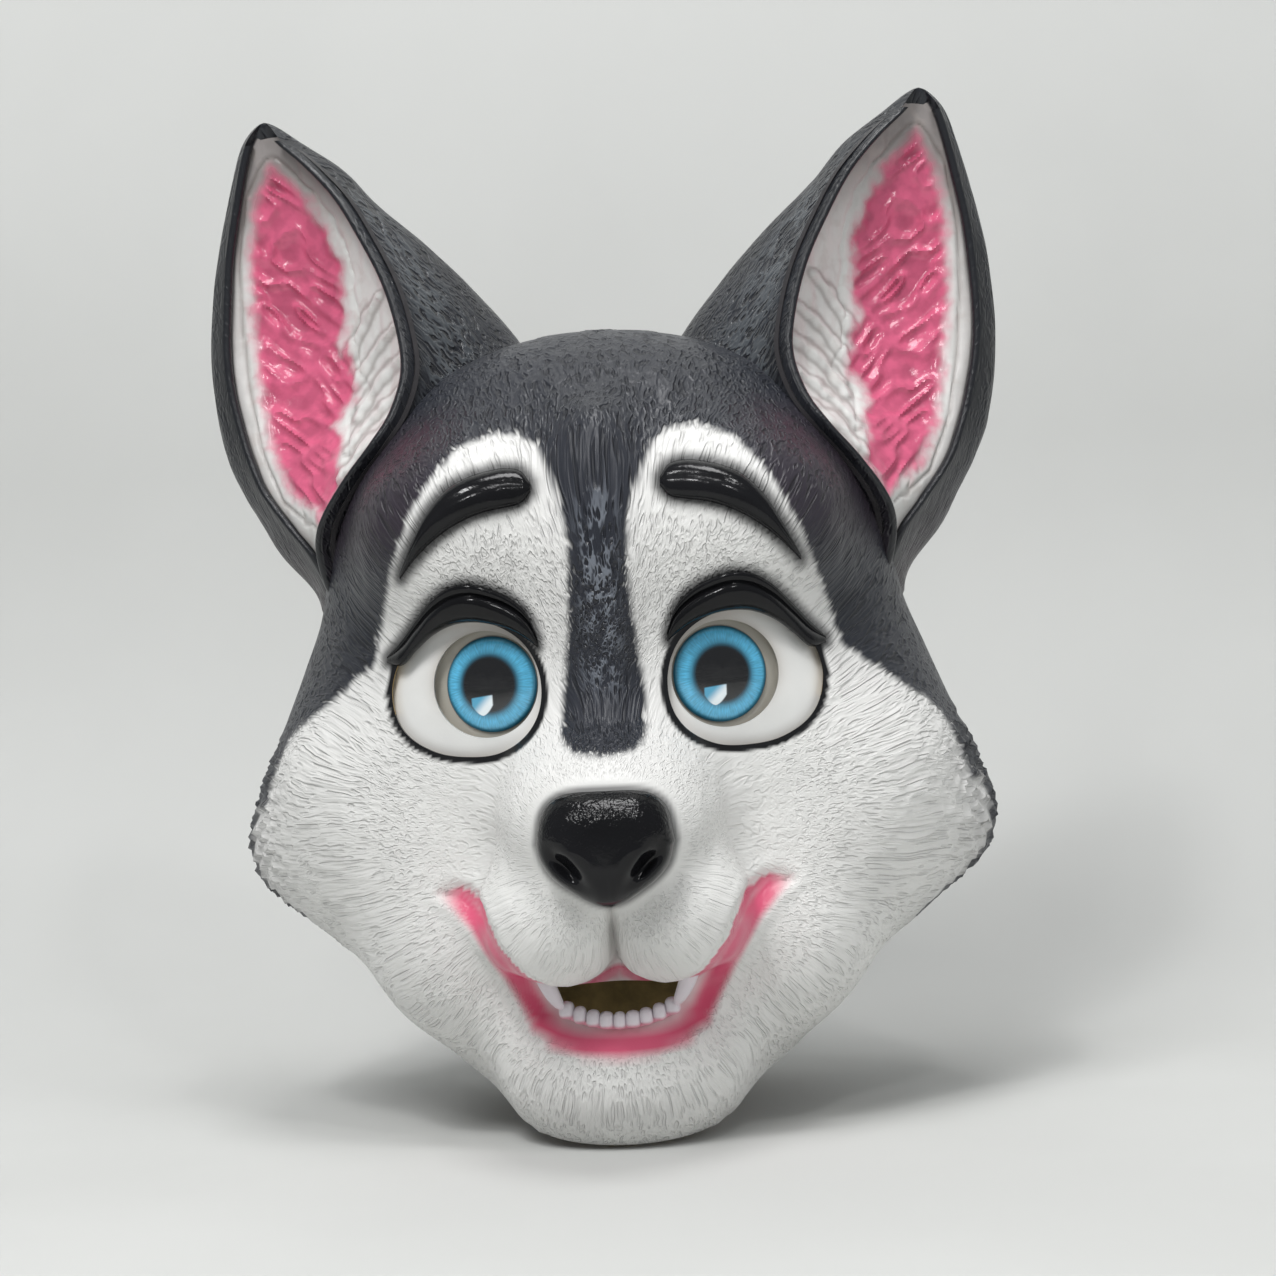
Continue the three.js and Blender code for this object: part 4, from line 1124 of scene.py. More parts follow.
def build_hood(context):
    """The hood with its eye, ear and mouth openings, its paint and its raw inside."""
    colours, sizes = context.scene.mask_colours, context.scene.mask_sizes
    hood = hood_body()
    for side in (1, -1):
        cut(hood, prism([(side * x, z) for x, z in eye_outline(0)], -200, -41))
        cut(hood, ear_way(side))
    cut(hood, mouth_cutter())
    mesh = hood.data
    mesh.shade_smooth()
    mesh.set_sharp_from_angle(angle=math.radians(42))
    mesh.materials.clear()
    centres = np.empty(len(mesh.polygons) * 3, np.float32)
    mesh.polygons.foreach_get("center", centres)
    facing = np.empty(len(mesh.polygons) * 3, np.float32)
    mesh.polygons.foreach_get("normal", facing)
    middle = centres.reshape(-1, 3).astype(float) * 1000 + (0, 0, SEAT)
    inward = np.einsum("ij,ij->i", facing.reshape(-1, 3), head_normal(middle)) < -0.35
    finish_piece(hood, "hood", "latex_hood", hood_paint(colours, sizes), raw_latex(colours))
    mesh.polygons.foreach_set("material_index", inward.astype(np.int32))
    hood_masks(hood)


def ear_arc(share, steps):
    """One level of the ear: evenly spaced arc points, their tangents, both rims and the dish."""
    row = [float(along(EAR, column, share)) for column in range(1, 12)]
    knots = np.array(row[:10]).reshape(5, 2) * (HALF_WIDTH, FACE)
    chain = np.vstack([2 * knots[0] - knots[1], knots, 2 * knots[-1] - knots[-2]])
    dense = []
    for k in range(4):
        p0, p1, p2, p3 = chain[k : k + 4]
        d0, d1, d2 = (np.sum((b - a) ** 2) ** 0.25 for a, b in ((p0, p1), (p1, p2), (p2, p3)))
        out_slope = ((p1 - p0) / d0 - (p2 - p0) / (d0 + d1) + (p2 - p1) / d1) * d1
        in_slope = ((p2 - p1) / d1 - (p3 - p1) / (d1 + d2) + (p3 - p2) / d2) * d1
        s = np.linspace(0, 1, 40, endpoint=k == 3)[:, None]
        curve = (2 * s**3 - 3 * s**2 + 1) * p1 + (s**3 - 2 * s**2 + s) * out_slope
        dense.append(curve + (3 * s**2 - 2 * s**3) * p2 + (s**3 - s**2) * in_slope)
    dense = np.concatenate(dense)
    run = np.concatenate([[0], np.cumsum(np.linalg.norm(np.diff(dense, axis=0), axis=1))])
    at = np.linspace(0, run[-1], steps + 1)
    points = np.stack([np.interp(at, run, dense[:, 0]), np.interp(at, run, dense[:, 1])], axis=1)
    way = np.gradient(points, axis=0)
    way /= np.linalg.norm(way, axis=1, keepdims=True)
    return points, way, knots[0], knots[-1], row[10] * FACE


def half_turn(centre, inward, way, radius):
    """Round end of the ear's rim, from its outer to its inner face."""
    angle = np.linspace(0, math.pi, RIM_SEGMENTS + 2)[1:-1, None]
    return centre - inward * radius * np.cos(angle) + way * radius * np.sin(angle)


def ear_tip(steps, cap_levels, sunk_steps):
    """Rings of the closed tip, round at the back and dished to the front."""
    rings = []
    k = np.linspace(0, 1, sunk_steps + 2)[1:-1, None]
    for i in range(cap_levels + 1):
        t = i / cap_levels
        share = 0.93 + 0.07 * t
        arc, _, inner_rim, outer_rim, dish = ear_arc(share, steps)
        chord = inner_rim - outer_rim
        span = np.linalg.norm(chord)
        behind = np.array([chord[1], -chord[0]]) / span
        sunk = (4.2 + dish * np.sin(math.pi * k)) * (1 - t**3)
        ring = np.concatenate([arc, outer_rim + chord * k + behind * np.minimum(sunk, 0.5 * span)])
        middle = ring.mean(axis=0)
        ring = middle + (ring - middle) * max((1 - t**9) ** 0.5, 0.06)
        rings.append(np.column_stack([ring, np.full(len(ring), EAR_ROOT + share * EAR_LENGTH)]))
    return rings


def build_ears(context):
    """Both hollow ears: an open cup of rings with a rolled rim, and its closed tip."""
    colours, sizes = context.scene.mask_colours, context.scene.mask_sizes
    levels, steps, tip_start = 120, 60, 0.955
    first = EAR[0][0]
    t = np.linspace(0, 1, steps + 1)
    bead = np.exp(-((t / 0.05) ** 2)) + np.exp(-(((1 - t) / 0.05) ** 2))
    thick = WALL + 1.3 * bead
    rings, rims, gloss_and_highlight_rows, plums = [], [], [], []
    for i in range(levels + 1):
        share = first + (tip_start - first) * (i / levels) ** 1.3
        arc, way, _, _, _ = ear_arc(share, steps)
        inward = np.stack([way[:, 1], -way[:, 0]], axis=1)
        z = EAR_ROOT + share * EAR_LENGTH
        spot = np.column_stack([arc, np.full(len(arc), z)])
        height = np.maximum(head_depth(spot), 0)
        flare = 5.0 * np.exp(-height / 6.0) * np.sin(math.pi * t) ** 0.6
        tuft = lumps(t * 22 + 3, np.full(len(t), z / 14), 12) - 0.5
        furred = np.sin(math.pi * t) ** 0.5 * smoothstep(0.93, 0.84, share)
        outer = arc - inward * (flare + 0.9 * tuft * furred)[:, None]
        inner = arc + inward * thick[:, None]
        ends = []
        for k, turn in ((steps, 1), (0, -1)):
            centre = (outer[k] + inner[k]) / 2
            radius = np.linalg.norm(inner[k] - outer[k]) / 2
            ends.append(half_turn(centre, inward[k], way[k] * turn, radius))
        flat = np.concatenate([outer, ends[0], inner[::-1], ends[1][::-1]])
        rings.append(np.column_stack([flat, np.full(len(flat), z)]))
        round_end = np.ones(RIM_SEGMENTS)
        rim = np.concatenate([bead, round_end, np.ones(steps + 1), round_end])
        rims.append(np.clip(rim, 0, 1) * (0.4 + 0.6 * (np.arange(len(rim)) > steps * 0.5)))
        # gloss, and a painted highlight on the stroke ridges, along the front inner edge; the tip gets
        # some as well
        front = smoothstep(0.2, 0.08, t) * smoothstep(0.02, 0.05, t)
        gloss_and_highlight = front * smoothstep(0.2, 0.4, share) * smoothstep(0.95, 0.75, share)
        gloss_and_highlight_rows.append(np.concatenate([gloss_and_highlight, np.zeros(len(flat) - len(gloss_and_highlight))]))
        plums.append(np.full(len(flat), 0.7 * smoothstep(0.3, 0.0, share)))
    tip = ear_tip(steps, 26, 14)
    faces = tube_faces(len(rings), len(rings[0]))
    faces += tube_faces(len(tip), len(tip[0]), len(rings) * len(rings[0]))
    ear = outward(make_mesh("Ear_left", np.concatenate(rings + tip), faces, smooth=50))
    tip_points = len(tip) * len(tip[0])
    for name, values, tip_value in (("rim", rims, 0.35), ("gloss_and_highlight", gloss_and_highlight_rows, 0.3), ("plum", plums, 0.0)):
        paint(ear, name, np.concatenate(values + [np.full(tip_points, tip_value)]))
    finish_pair(ear, "Ear", "ear", "latex_ear", ear_paint(colours, sizes))


def build_linings(context):
    """The dished linings of both ears, with wrinkled pink patches and folded tufts."""
    levels, across = 190, 110
    front, edge_gap, shares = [], [], []
    first, last = EAR[1][0], 0.982
    for i in range(levels + 1):
        share = first + (last - first) * i / levels
        _, _, inner, outer, dish = ear_arc(share, 8)
        span = np.linalg.norm(inner - outer)
        chord = (inner - outer) / span
        behind = np.array([chord[1], -chord[0]])
        reach = span + WALL
        k = np.linspace(0, 1, across + 1)[:, None]
        sink = 3.0 + dish * np.sin(math.pi * k)
        row = outer + chord * (reach * k - WALL / 2) + behind * sink
        z = EAR_ROOT + share * EAR_LENGTH
        front.append(np.column_stack([row, np.full(len(row), z)]))
        edge_gap.append(np.minimum(k, 1 - k)[:, 0] * reach - WALL / 2)
        shares.append(np.full(across + 1, share))
    front = np.array(front)
    edge_gap, shares = np.array(edge_gap), np.array(shares)
    x, z = front[..., 0], front[..., 2]
    patch = outline_depth(PINK_PATCH, x, z)
    patch = patch + 3.0 * (lumps(x / 5 + 7, z / 5 + 7, 6) - 0.5) * (x < 125)
    inside = smoothstep(0, 5, patch)
    bend = lumps(x / 24 + 40, z / 24 + 40, 9) * 2.4
    wrinkle = lumps((x - z) / 5.4 + bend + 60, (x + z) / 17 + 11, 3)
    fold = (1 - np.abs(2 * wrinkle - 1)) ** 2
    relief = -1.2 * inside + 2.6 * (fold - 0.3) * inside
    brushed = lumps(x / 2.6 + 4, z / 8 + 4, 15) - 0.5
    relief = relief + 0.9 * brushed * (1 - inside)
    incised = -patch - 4.2
    relief = relief - 0.8 * np.exp(-((incised / 0.7) ** 2))
    # painted shade along the incised outline on the outer side of the pink patch
    crease_shade = 0.7 * np.exp(-((incised / 0.8) ** 2)) * (x > 118)
    s = np.linspace(0, 1, 14)[:, None]
    for root, elbow, tip in TUFTS:
        way = (1 - s) ** 2 * np.array(root) + 2 * s * (1 - s) * np.array(elbow) + s**2 * np.array(tip)
        gap = path_distance([tuple(q) for q in way], x, z)
        gap = gap + 2.4 * (lumps(x / 3.5 + root[1], z / 3.5 + root[0], 17) - 0.35)
        relief = relief + 1.7 * np.exp(-((gap / 1.9) ** 2)) * smoothstep(0, 6, edge_gap)
        # painted shade in the undercut beside each tuft
        under = np.exp(-(((gap - 3.1) / 1.0) ** 2))
        crease_shade = np.maximum(crease_shade, 0.8 * under * (1 - inside))
    relief = relief * smoothstep(0, 4, edge_gap)
    back = front.copy()
    tilt = np.gradient(front, axis=1)[..., :2]
    tilt /= np.linalg.norm(tilt, axis=-1, keepdims=True)
    behind = np.stack([tilt[..., 1], -tilt[..., 0]], axis=-1)
    front[..., :2] -= behind * relief[..., None]
    back[..., :2] += behind * LINING_THICK
    lining = outward(slab(front, back, "Ear_lining_left"))
    # painted shade: grey towards the tip and along both rims
    tip_and_rim_shade = 0.85 * smoothstep(0.66, 0.95, shares) + 0.55 * np.exp(-np.maximum(edge_gap - 1.5, 0) / 5.0)
    for name, values in (
        ("patch", np.clip(patch, -15, 15)),
        # painted shade in the valleys between the wrinkles
        ("fold", smoothstep(0.2, 0.0, fold) * 0.5),
        ("crease_shade", np.clip(crease_shade, 0, 1)),
        ("seam", smoothstep(2.4, 1.2, edge_gap)),
        ("tip_and_rim_shade", np.clip(tip_and_rim_shade, 0, 0.85)),
    ):
        paint(lining, name, np.tile(values.ravel(), 2))
    coat = lining_paint(context.scene.mask_colours)
    finish_pair(lining, "Ear_lining", "ear_lining", "latex_lining", coat)


def ring_slab(front, back, name):
    """A closed sheet between two sets of rings, open in the middle."""
    rows, around = front.shape[:2]
    shift = rows * around
    points = np.concatenate([front.reshape(-1, 3), back.reshape(-1, 3)])
    faces = grid_faces(rows, around, closed=True)
    faces += grid_faces(rows, around, closed=True, start=shift, flip=True)
    outer = (rows - 1) * around
    for c in range(around):
        n = (c + 1) % around
        faces.append((n, c, c + shift, n + shift))
        faces.append((outer + c, outer + n, outer + n + shift, outer + c + shift))
    return outward(make_mesh(name, points, faces, smooth=50))


def build_eyes(context):
    """The white eye shells with their round holes, and the irises behind them."""
    outline = eye_outline(4.0, 144)
    hole = np.array(IRIS_PLACE)
    away = outline - hole
    away /= np.linalg.norm(away, axis=1, keepdims=True)
    rows = 30
    share = np.concatenate([[0.0, 0.0, 0.004], np.linspace(0.02, 1, rows - 3)])[:, None, None]
    flat = (hole + away * HOLE_RADIUS)[None] * (1 - share) + outline[None] * share
    x, z = flat[..., 0], flat[..., 1]
    inside = outline_depth([tuple(q) for q in eye_outline(0, 72)], x, z)
    front = front_point(x, z, EYE_SINK)
    front[..., 1] -= 2.2 * smoothstep(-2, 17, inside)
    # rounded edge of the hole
    front[0, :, 1] += 1.2
    front[1, :, 1] += 0.35
    back = front.copy()
    back[..., 1] += WALL
    back[:2, :, 1] = back[2:3, :, 1]
    white = ring_slab(front, back, "Eye_white_left")
    gap = np.linalg.norm(flat - hole, axis=-1) - HOLE_RADIUS
    upper = smoothstep(-0.7, 0.6, (z - hole[1]) / 25 + (x - hole[0]) / 60)
    shadow = np.exp(-gap / 2.6) * upper + 0.5 * smoothstep(5, 0, inside)
    paint(white, "shadow", np.tile(np.clip(shadow, 0, 1).ravel(), 2))
    finish_pair(white, "Eye_white", "eye_white", "eye_white", eye_white_paint())
    stain = iris_paint(context.scene.mask_colours)
    for side, name in ((1, "left"), (-1, "right")):
        finish_piece(iris_lens(side, f"Iris_{name}"), f"iris_{name}", "iris", stain)


def iris_lens(side, name):
    """The coloured dome on its flange, behind the hole of the eye shell."""
    around, flange, dome_height, flange_thick = 96, (18.9, 20.4, 22.0, 24.3), 4.6, 1.6
    surface = front_point(np.array([side * IRIS_PLACE[0]]), IRIS_PLACE[1])
    look = head_normal(surface)[0]
    seat = surface[0] - look * (EYE_SINK + 5.3)
    right = np.cross((0.0, 0.0, 1.0), look)
    right /= np.linalg.norm(right)
    up = np.cross(look, right)
    radii = np.concatenate([np.linspace(0.6, IRIS_RADIUS, 40), flange])
    dome = dome_height * np.sqrt(np.maximum(1 - (radii / 18.7) ** 2, 0))
    height = np.where(radii <= IRIS_RADIUS, dome, 0.0)
    angle = 2 * math.pi * np.arange(around) / around
    across = radii[:, None] * np.cos(angle)
    rise = radii[:, None] * np.sin(angle)
    plane = seat + across[..., None] * right + rise[..., None] * up
    top = plane + height[:, None, None] * look
    under = plane - flange_thick * look
    points = np.concatenate([top.reshape(-1, 3), under.reshape(-1, 3)])
    shift = len(radii) * around
    faces = grid_faces(len(radii), around, closed=True)
    faces += grid_faces(len(radii), around, closed=True, start=shift, flip=True)
    outer = (len(radii) - 1) * around
    for c in range(around):
        n = (c + 1) % around
        faces.append((outer + c, outer + n, outer + n + shift, outer + c + shift))
    faces.append(tuple(range(around - 1, -1, -1)))
    faces.append(tuple(range(shift, shift + around)))
    lens = outward(make_mesh(name, points, faces, smooth=50))
    turn = np.tile(np.minimum(angle, 2 * math.pi - angle), len(radii)) * 5
    paint(lens, "out", np.tile(np.repeat(radii, around), 2))
    paint(lens, "across", np.tile(across.ravel(), 2))
    paint(lens, "up", np.tile(rise.ravel(), 2))
    paint(lens, "turn", np.tile(turn, 2))
    return lens


def raised_band(edges, profile, name, stations=72, across=22):
    """A band that stands on the hood between two edges."""
    at = np.linspace(edges[0][0], edges[-1][0], stations)
    low = along(edges, 1, at) * HEIGHT
    high = along(edges, 2, at) * HEIGHT
    t = np.linspace(0, 1, across)
    z = low[:, None] + (high - low)[:, None] * t
    x = np.broadcast_to((at * HALF_WIDTH)[:, None], z.shape)
    surface = front_point(x, z)
    swell = np.minimum(1, (high - low) / (0.03 * HEIGHT))[:, None] ** 0.7
    ends = np.sin(math.pi * np.linspace(0.02, 0.98, stations))[:, None] ** 0.25
    front = surface.copy()
    front[..., 1] -= 0.2 + profile(t)[None] * swell * ends
    back = surface.copy()
    back[..., 1] += 1.4
    band = outward(slab(front, back, name))
    paint(band, "grain", np.full(2 * stations * across, 0.5))
    return band


def build_lids_and_brows(context):
    """The raised glossy upper lids and brows."""
    colours, sizes = context.scene.mask_colours, context.scene.mask_sizes

    def lid_profile(t):
        lower = np.sqrt(np.maximum(1 - ((t - 0.36) / 0.37) ** 2, 0))
        upper = np.sqrt(np.maximum(1 - ((t - 0.83) / 0.17) ** 2, 0))
        dip = 0.42 * np.sin(math.pi * np.clip(t, 0, 1)) ** 0.5
        return millimetres(sizes.lid_height) * np.maximum(np.maximum(lower, 0.62 * upper), dip)

    def brow_profile(t):
        crest = np.sqrt(np.maximum(1 - (2 * t - 1) ** 2, 0)) ** 0.9
        return millimetres(sizes.brow_height) * (crest - 0.1 * np.exp(-(((t - 0.62) / 0.1) ** 2)))

    coat = gloss_black(colours, "Lid and brow gloss", 260.0, 0.3)
    for edges, profile, title in ((LID, lid_profile, "Eyelid"), (BROW, brow_profile, "Brow")):
        band = raised_band(edges, profile, f"{title}_left")
        finish_pair(band, title, title.lower(), "latex_black", coat)


def build_nose(context):
    """The nose with its nostrils, its seam and its pebbled bridge."""
    around, layers, rooted = 96, 44, 2
    tip = FACE + MUZZLE
    rings = []
    for i in range(layers + 1):
        if i < rooted:
            swell = 1.0
            reach = tip - NOSE_DEPTH * (2.2 - 0.9 * i)
        else:
            lean = math.pi / 2 * (1 - (i - rooted) / (layers - rooted))
            swell = max(math.sin(lean) ** 0.7, 0.01)
            reach = tip - NOSE_DEPTH * (1 - math.cos(lean))
        x, z = nose_ring(around, swell)
        drop = 0.12 * NOSE_HEIGHT * (1 - swell)
        rings.append(np.column_stack([x, np.full(around, -reach), NOSE_UP + z - drop]))
    points = np.array(rings)
    x, y, z = np.abs(points[..., 0]), points[..., 1], points[..., 2] - NOSE_UP
    face = smoothstep(-151.5, -156, y)
    # each nostril is a slanting pit that runs out into a slot
    slant = z + 6.0 - 0.8 * (x - 14.0)
    pit = np.exp(-(((x - 14.0) / 5.6) ** 2) - (slant / 4.0) ** 2)
    slot = np.exp(-(((x - 18.5) / 3.0) ** 2) - ((z + 3.5) / 2.4) ** 2)
    seam = bell(x, 1.3) * smoothstep(-7, -12, z)
    points[..., 1] += face * (7.0 * pit + 0.8 * slot + 1.2 * seam)
    rim = np.exp(-((np.hypot((x - 12.5) / 7.2, (z + 6) / 6.0) - 1) / 0.25) ** 2)
    points[..., 1] -= face * 0.35 * rim * (z > -12)
    pebble = lumps(points[..., 0] / 1.7 + 30, z / 1.5 + 30, 21) - 0.5
    points[..., 1] -= 0.22 * pebble * smoothstep(0, 9, z) * smoothstep(-150.5, -154, y)
    nose = outward(make_mesh("Nose", points, tube_faces(layers + 1, around), smooth=60))
    paint(nose, "grain", 0.15 + 0.85 * smoothstep(-2, 9, z).ravel())
    coat = gloss_black(context.scene.mask_colours, "Nose gloss", 520.0, 0.35)
    finish_piece(nose, "nose", "latex_black", coat)


def tooth_rings(levels, around, centre, half):
    """A rounded tooth as rings from its foot to its crown."""
    angle = 2 * math.pi * np.arange(around) / around
    square_x = np.sign(np.cos(angle)) * np.abs(np.cos(angle)) ** 0.8
    square_y = np.sign(np.sin(angle)) * np.abs(np.sin(angle)) ** 0.8
    rings = []
    for t in np.linspace(-1, 1, levels):
        t = max(min(t, 0.995), -0.995)
        narrow = (1 - abs(t) ** 3.0) ** (1 / 2.2) * (1 - 0.06 * t)
        x = centre[0] + half[0] * narrow * square_x
        y = centre[1] + half[1] * narrow * square_y
        rings.append(np.column_stack([x, y, np.full(around, centre[2] + half[2] * t)]))
    return rings


def canine_rings(side, levels=24, around=24):
    """An upper canine as rings from its tip up to its root."""
    turn = 2 * math.pi * np.arange(around) / around
    rings = []
    for share in np.linspace(0.004, 1, levels):
        radius = CANINE_RADIUS * math.sin(math.acos(1 - share)) ** 0.7
        up = CANINE_LENGTH * share
        bend = 1.2 * (1 - share) ** 2
        x = side * (0.15 * HALF_WIDTH + up * math.sin(0.35) - bend) + radius * np.cos(turn)
        y = -1.07 * FACE - up * math.sin(0.1) + bend + radius * np.sin(turn)
        rings.append(np.column_stack([x, y, np.full(around, 0.166 * HEIGHT + up * 0.94)]))
    return rings


def build_teeth(context):
    """The row of lower teeth on its gum, and the two upper canines."""
    levels, around = 18, 24
    pitch = 1.1 * TEETH_WIDTH / TOOTH_COUNT
    level = 0.153 * HEIGHT
    row_front = float(front_point(np.array([0.0]), level)[0, 1])
    gum_angle = 2 * math.pi * np.arange(12) / 12
    foot = 0.55 * smoothstep(0.32, 0.1, np.repeat(np.linspace(0, 1, levels), around))
    bodies = []
    for i in range(TOOTH_COUNT):
        x = (i - (TOOTH_COUNT - 1) / 2) * pitch
        share = 2 * x / TEETH_WIDTH
        centre = (x, row_front + 3.0 * share**2, level - 1.0 + 4.6 * share**2)
        wide = 0.56 + 0.05 * math.cos(2.4 * i)
        half = (wide * pitch, TOOTH_SIZE / 2, 0.38 * TOOTH_SIZE)
        bodies.append((tooth_rings(levels, around, centre, half), foot))
    strip = []
    for x in np.linspace(1 - TEETH_WIDTH / 2, TEETH_WIDTH / 2 - 1, 40):
        share = 2 * x / TEETH_WIDTH
        y = row_front + 3.0 * share**2 + 1.8 * np.cos(gum_angle)
        z = level - 2.6 + 4.6 * share**2 + 1.8 * np.sin(gum_angle)
        strip.append(np.column_stack([np.full(12, x), y, z]))
    bodies.append((strip, np.full(40 * 12, 0.6)))
    points, faces = [], []
    for rings, _ in bodies:
        faces += tube_faces(len(rings), len(rings[0]), sum(map(len, points)))
        points += rings
    row = outward(make_mesh("Lower_teeth", np.concatenate(points), faces, smooth=60))
    paint(row, "gum", np.concatenate([gum for _, gum in bodies]))
    coat = tooth_paint(context.scene.mask_colours)
    finish_piece(row, "lower_teeth", "tooth", coat)
    for side, name in ((1, "left"), (-1, "right")):
        rings = canine_rings(side)
        faces = tube_faces(len(rings), len(rings[0]))
        fang = outward(make_mesh(f"Canine_{name}", np.concatenate(rings), faces, smooth=60))
        paint(fang, "gum", np.zeros(len(rings) * len(rings[0])))
        finish_piece(fang, f"canine_{name}", "tooth", coat)


def add_backdrop(context):
    """A pale floor that sweeps up into a wall, clear where it is seen from behind or below."""
    reach, near, wall, bend, top = 4.0, -3.0, 0.42, 0.3, 3.0
    floor = -SEAT / 1000 - 0.002
    profile = [(near, floor), (wall - bend, floor)]
    for k in range(1, 13):
        angle = k * math.pi / 24
        profile.append((wall - bend + bend * math.sin(angle), floor + bend * (1 - math.cos(angle))))
    profile.append((wall, top))
    points = [(s * reach, y, z) for y, z in profile for s in (-1, 1)]
    faces = [(2 * k, 2 * k + 1, 2 * k + 3, 2 * k + 2) for k in range(len(profile) - 1)]
    mesh = bpy.data.meshes.new("Backdrop")
    mesh.from_pydata(points, [], faces)
    mesh.shade_smooth()
    sweep = bpy.data.objects.new("Backdrop", mesh)
    context.scene.collection.objects.link(sweep)
    material, g, shader = new_material("Backdrop paint")
    cloud = g.noise(g.place(), 3.0, detail=4.0)
    shaded = g.mix(g.mask(cloud, 0.3, 0.7), (0.56, 0.565, 0.55, 1.0), (0.6, 0.605, 0.59, 1.0))
    g.feed(shader.inputs["Base Color"], shaded)
    g.feed(shader.inputs["Roughness"], g.mask(cloud, 0.0, 1.0, 0.8, 0.95))
    clear = g.add("ShaderNodeBsdfTransparent").outputs[0]
    behind = g.add("ShaderNodeNewGeometry").outputs["Backfacing"]
    one_sided = g.add("ShaderNodeMixShader", {0: behind, 1: shader.outputs[0], 2: clear})
    g.feed(material.node_tree.nodes["Material Output"].inputs["Surface"], one_sided.outputs[0])
    mesh.materials.append(material)


def add_room(context):
    """Soft light from all sides, brighter where the camera looks past the backdrop."""
    lighting, seen_brightness = 0.26, 0.62
    world = bpy.data.worlds.new("Soft room")
    world.use_nodes = True
    room = Graph(world.node_tree)
    seen = room.add("ShaderNodeLightPath").outputs["Is Camera Ray"]
    sky = world.node_tree.nodes["Background"]
    sky.inputs[0].default_value = (0.92, 0.96, 1.0, 1.0)
    room.feed(sky.inputs[1], room.blend(seen, lighting, seen_brightness))
    context.scene.world = world


def add_lights(context):
    """Square lamps aimed at the mask: name, place, size, power and whether gloss mirrors them."""
    aim = Vector((0.0, -0.05, -0.1))
    lights = (
        ("Key light", (-0.55, -1.2, 1.3), 0.8, 21.0, False),
        ("Fill light", (1.5, -1.2, 0.5), 1.4, 7.0, False),
        ("Top light", (0.1, -0.3, 1.6), 0.6, 12.0, True),
        ("Left lamp", (-0.35, -1.1, 1.2), 0.16, 4.0, True),
        ("Right lamp", (0.45, -1.1, 1.25), 0.14, 2.5, True),
    )
    for name, place, size, power, glossy in lights:
        light = bpy.data.lights.new(name, "AREA")
        light.size = size
        light.energy = power
        lamp = bpy.data.objects.new(name, light)
        lamp.location = place
        lamp.visible_glossy = glossy
        lamp.rotation_euler = (aim - Vector(place)).to_track_quat("-Z", "Y").to_euler()
        context.scene.collection.objects.link(lamp)


def add_camera(context):
    """The camera in front of the face, level, a little to one side and rolled as in the photograph."""
    turn, roll = math.radians(1.883), math.radians(2.72)
    forward = Vector((-math.sin(turn), math.cos(turn), 0))
    right = Vector((math.cos(turn), math.sin(turn), 0))
    up = Vector((0, 0, 1))
    tilted_up = up * math.cos(roll) + right * math.sin(roll)
    tilted_right = right * math.cos(roll) - up * math.sin(roll)
    matrix = Matrix((tilted_right, tilted_up, -forward)).transposed().to_4x4()
    matrix.translation = Vector((0.04797, -1.14905, -0.1255))
    lens = bpy.data.cameras.new("Camera")
    lens.lens = 77.87
    lens.sensor_width = 36.0
    camera = bpy.data.objects.new("Camera", lens)
    camera.matrix_world = matrix
    context.scene.collection.objects.link(camera)
    context.scene.camera = camera


def build_stage(context):
    """The backdrop, the soft lights and the camera."""
    add_backdrop(context)
    add_room(context)
    add_lights(context)
    add_camera(context)
    context.scene.view_settings.view_transform = "Standard"


# Settings, operators and the panel

def colour_setting(name, description, default):
    return bpy.props.FloatVectorProperty(
        name=name, description=description, subtype="COLOR", size=4, min=0.0, max=1.0, default=default
    )


class MaskColours(bpy.types.PropertyGroup):
    """Colours sprayed on the latex."""

    white: colour_setting("White fur", "Off-white of the cheeks and muzzle", (0.76, 0.755, 0.735, 1.0))
    charcoal: colour_setting("Charcoal fur", "Dark fur of crown, ears and back", (0.021, 0.023, 0.03, 1.0))
    plum: colour_setting("Plum shade", "Shade beside the ears", (0.032, 0.02, 0.029, 1.0))
    pink: colour_setting("Pink", "Ear patches and lips", (0.62, 0.115, 0.215, 1.0))
    iris: colour_setting("Iris blue", "Ring of the iris", (0.1, 0.47, 0.72, 1.0))
    raw: colour_setting("Raw latex", "Unpainted latex inside", (0.38, 0.27, 0.11, 1.0))
    tooth: colour_setting("Tooth", "Teeth", (0.74, 0.69, 0.73, 1.0))
    black: colour_setting("Gloss black", "Nose, lids and brows", (0.006, 0.006, 0.007, 1.0))


def length_setting(name, description, default, most):
    return bpy.props.FloatProperty(
        name=name, description=description, default=default, min=0.0, max=most, precision=4, unit="LENGTH"
    )


def millimetres(length):
    """A length setting in millimetres; Blender keeps it in metres, as a short number."""
    return round(length * 1000.0, 3)


class MaskSizes(bpy.types.PropertyGroup):
    """Sizes of the surface work."""

    fur_depth: length_setting("Fur depth", "Depth of the pressed strokes", 0.001, 0.004)
    lid_height: length_setting("Lid height", "How far the upper lids stand out", 0.006, 0.009)
    brow_height: length_setting("Brow height", "How far the brows stand out", 0.005, 0.008)
    hood_roughness: bpy.props.FloatProperty(
        name="Hood roughness",
        description="Gloss of the painted latex",
        default=0.42,
        min=0.05,
        max=1.0,
        subtype="FACTOR",
    )


class HUSKYMASK_OT_hood(bpy.types.Operator):
    """Build the hood with its carved face, eye and mouth openings"""

    bl_idname = "huskymask.hood"
    bl_label = "Hood"

    def execute(self, context):
        build_hood(context)
        return {"FINISHED"}


